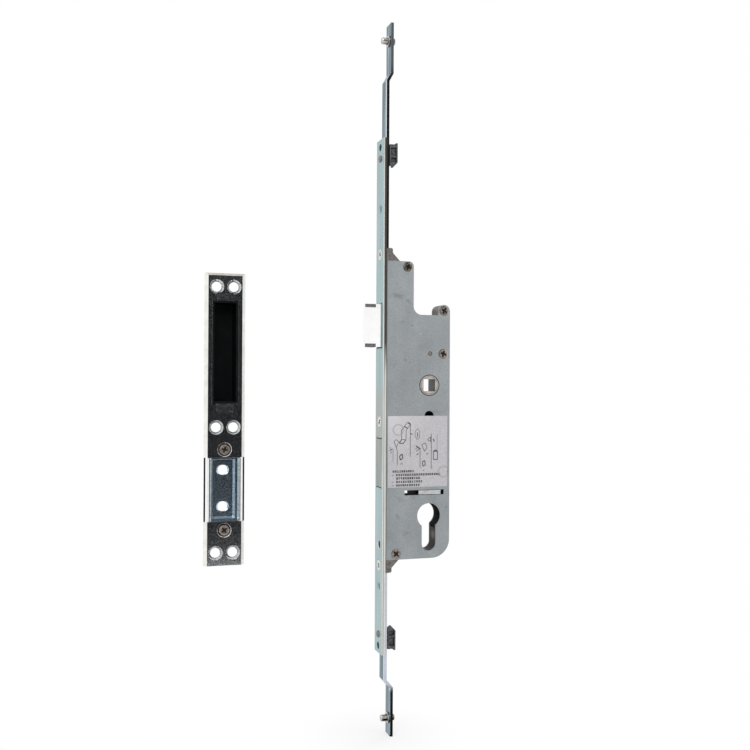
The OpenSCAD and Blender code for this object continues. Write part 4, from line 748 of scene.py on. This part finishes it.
# Strike: formed steel sheet with bevelled, turned-back edges and countersunk holes, bright
# nickel plated. It is screwed to the door frame.
# Mirror nickel on rolled sheet: takes its tone from the room, with a fine mottling of pits.
mirror = metal("mirror_nickel_plate", "8C8E90", "B6B8B9", "F4F5F5", 0.8, (0.06, 0.2), 0.5, 0.1,
               spread=(0.34, 0.5, 0.68))
# Its pressed bevels and lips: nearly white, a painted highlight.
bevel_highlight = metal("nickel_bevel_painted_highlight", "E6E4DE", "EFEEE9", "F6F5F2", 5, (0.1, 0.18), 0.5, 0.01)
# The bevel at its top end: a shade darker, as painted shade.
end_bevel_shade = metal("nickel_end_bevel_painted_shade", "B4B1A6", "C6C3B9", "DAD8D0", 4, (0.2, 0.3), 0.5, 0.01)
low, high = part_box("strike_plate")
strike_face, strike_top, strike_x = low.y * 1000, high.z * 1000, (low.x + high.x) * 500
flat_half = 11.2
strike = worked("strike_plate", mirror, 0.35)
second_finish(strike, bevel_highlight, lambda normal, at: abs(normal.y) < 0.93
              and abs(at.x - strike_x) > flat_half)
second_finish(strike, end_bevel_shade, lambda normal, at: normal.z > 0.3 and at.z > strike_top - 3)

# Dust box: black plastic moulding clipped behind the strike's deadbolt opening, its two tongues
# hooked over the sheet.
# Black moulded plastic: very dark, half matt, with faint flow clouds.
moulding = metal("black_moulded_plastic", "040506", "07090B", "0C0E11", 8, (0.4, 0.55), 0.4, 0.05,
                 metallic=0.0)
feed(moulding, Specular_IOR_Level=0.12)
# Its tongues, scuffed by the sheet: a little greyer, with fine pale rub marks.
scuffed = metal("scuffed_black_plastic", "141517", "1C1D20", "4A4C50", 0.9, (0.4, 0.6), 0.4, 0.1,
                metallic=0.0)
feed(scuffed, Specular_IOR_Level=0.25)
box_z, tongues_from = 21.4, 34
second_finish(worked("dust_box", moulding, 0.3), scuffed,
              lambda normal, at: normal.y < -0.9 and abs(at.z - box_z) > tongues_from
              and at.y < -6.5)

# Latch keep: formed sheet that slides across the strike's window and is clamped by two screws;
# its pocket takes the latch's nose.
# Blue-passivated zinc, new and bright: cool and almost mirror smooth.
keep_zinc = metal("bright_blue_zinc", "8BA0B0", "AEC1CF", "E2ECF2", 1.1, (0.1, 0.3), 0.5, 0.12,
                  spread=(0.34, 0.5, 0.68))
# The keep's rim at the strike's face takes the bevels' painted highlight.
second_finish(worked("latch_keep", keep_zinc, 0.3), bevel_highlight,
              lambda normal, at: at.y < strike_face + 0.9 and normal.y > -0.97)

# Keep screws: countersunk with a cross recess, nickel plated and greasy, at the two ends of the
# keep.
# The same nickel under brown grease.
greasy_nickel = metal("greasy_nickel_plate", "6B5F55", "8C8076", "B8ADA3", 1.4, (0.25, 0.4), 0.4,
                      0.05, metallic=0.6)
for i, (low, high) in enumerate(solids("keep_screws")):
    spot = Vector(((low.x + high.x) / 2, low.y, (low.z + high.z) / 2))
    screw = piece(f"keep_screw_{i + 1}", cross_screw(3.6, 2, (high.y - low.y) * 1000, 2.3, spot,
                  (0, 1, 0), (0.3, 0.9)[i]), greasy_nickel, "latch_keep",
                  ["keep_screws"] if i == 0 else [])
    shade_recess(screw, spot, 2.4)

# Studio: a plain pale floor under the lower rod's tip, a white world that metal also sees, soft
# lamps, and black flags out of view that the mirror surfaces take their dark from.
def card(name, placed, finish):
    """A flat card with that finish: a square metre, or what the matrix makes of it."""
    shape = bmesh.new()
    bmesh.ops.create_grid(shape, x_segments=1, y_segments=1, size=0.5)
    bmesh.ops.transform(shape, verts=shape.verts, matrix=placed)
    mesh = bpy.data.meshes.new(name)
    shape.to_mesh(mesh)
    shape.free()
    mesh.materials.append(finish)
    made = bpy.data.objects.new(name, mesh)
    scene.collection.objects.link(made)
    return made


def plain_rays(finish):
    """One for the rays that see plain white: from the camera, from gloss and through glass."""
    rays = add(finish, "LightPath").outputs
    seen = add(finish, "Math", {0: rays["Is Camera Ray"], 1: rays["Is Glossy Ray"]},
               operation="MAXIMUM")
    return add(finish, "Math", {0: seen.outputs[0], 1: rays["Is Transmission Ray"]},
               operation="MAXIMUM").outputs[0]


# White paper, which glows as white as the room but for a soft shadow round the lower rod's tip.
floor_z = cad_box[0].z
paper = bpy.data.materials.new("white_paper")
paper.use_nodes = True
feed(paper, Base_Color=linear("F4F4F4"), Roughness=0.9, Specular_IOR_Level=0.0)
near = add(paper, "VectorMath", {0: add(paper, "TexCoord").outputs["Object"],
           1: (-0.033, 0, floor_z)}, operation="DISTANCE")
fade = add(paper, "MapRange", {"Value": near.outputs["Value"], "From Min": 0.01,
           "From Max": 0.06, "To Min": 0.72})
share = add(paper, "Math", {0: plain_rays(paper), 1: fade.outputs["Result"]}, operation="MULTIPLY")
glow = add(paper, "Emission", {"Color": (1, 1, 1, 1), "Strength": 1.0})
mixed = add(paper, "MixShader", {0: share.outputs[0],
            1: paper.node_tree.nodes["Principled BSDF"].outputs[0], 2: glow.outputs[0]})
paper.node_tree.links.new(mixed.outputs[0], paper.node_tree.nodes["Material Output"].inputs[0])
floor = card("floor", Matrix.Translation((0, 0, floor_z)) @ Matrix.Diagonal((6, 6, 1, 1)), paper)

sky = bpy.data.worlds.new("white_room")
sky.use_nodes = True
scene.world = sky
room = sky.node_tree.nodes["Background"].inputs
level = add(sky, "MapRange", {"Value": plain_rays(sky), "To Min": 0.62})
sky.node_tree.links.new(level.outputs[0], room["Strength"])
room["Color"].default_value = (1, 1, 1, 1)

# Lamps: place, width in metres and power in watts. All of them point at the same spot.
aim = Vector((-0.05, 0, 0))
for name, at, wide, power in (("key", (-0.7, -1.1, 0.9), 0.9, 8),
                              ("fill", (1.0, -0.9, 0.3), 1.0, 4),
                              ("rim", (1.1, 1.0, 0.8), 0.9, 6)):
    lamp = bpy.data.lights.new(name, "AREA")
    lamp.size, lamp.energy = wide, power
    holder = bpy.data.objects.new(name, lamp)
    holder.matrix_world = Matrix.Translation(at) @ (aim - Vector(at)).to_track_quat(
        "-Z", "Y").to_matrix().to_4x4()
    scene.collection.objects.link(holder)

# Flags: black cloth, with its tone, place, width, height and tip from the level
for name, tone, at, wide, tall, tip in (
        ("flag_strike", "3A3C3F", (-0.07, -0.616, -0.035), 0.28, 0.45, pi / 2),
        ("flag_rod", "101215", (0.21, -0.616, 0.274), 0.26, 0.312, pi / 2),
        ("flag_tip", "5E6164", (0.21, -0.616, 0.515), 0.26, 0.17, pi / 2),
        ("flag_foot", "0C0D0F", (-0.007, -0.0548, floor_z + 0.0001), 0.06, 0.1055, 0)):
    cloth = bpy.data.materials.new(name + "_cloth")
    cloth.use_nodes = True
    feed(cloth, Base_Color=linear(tone), Roughness=1.0, Specular_IOR_Level=0.0)
    flag = card(name, Matrix.Translation(at) @ Matrix.Rotation(tip, 4, "X") @
                Matrix.Diagonal((wide, tall, 1, 1)), cloth)
    flag.visible_camera = flag.visible_diffuse = flag.visible_shadow = False
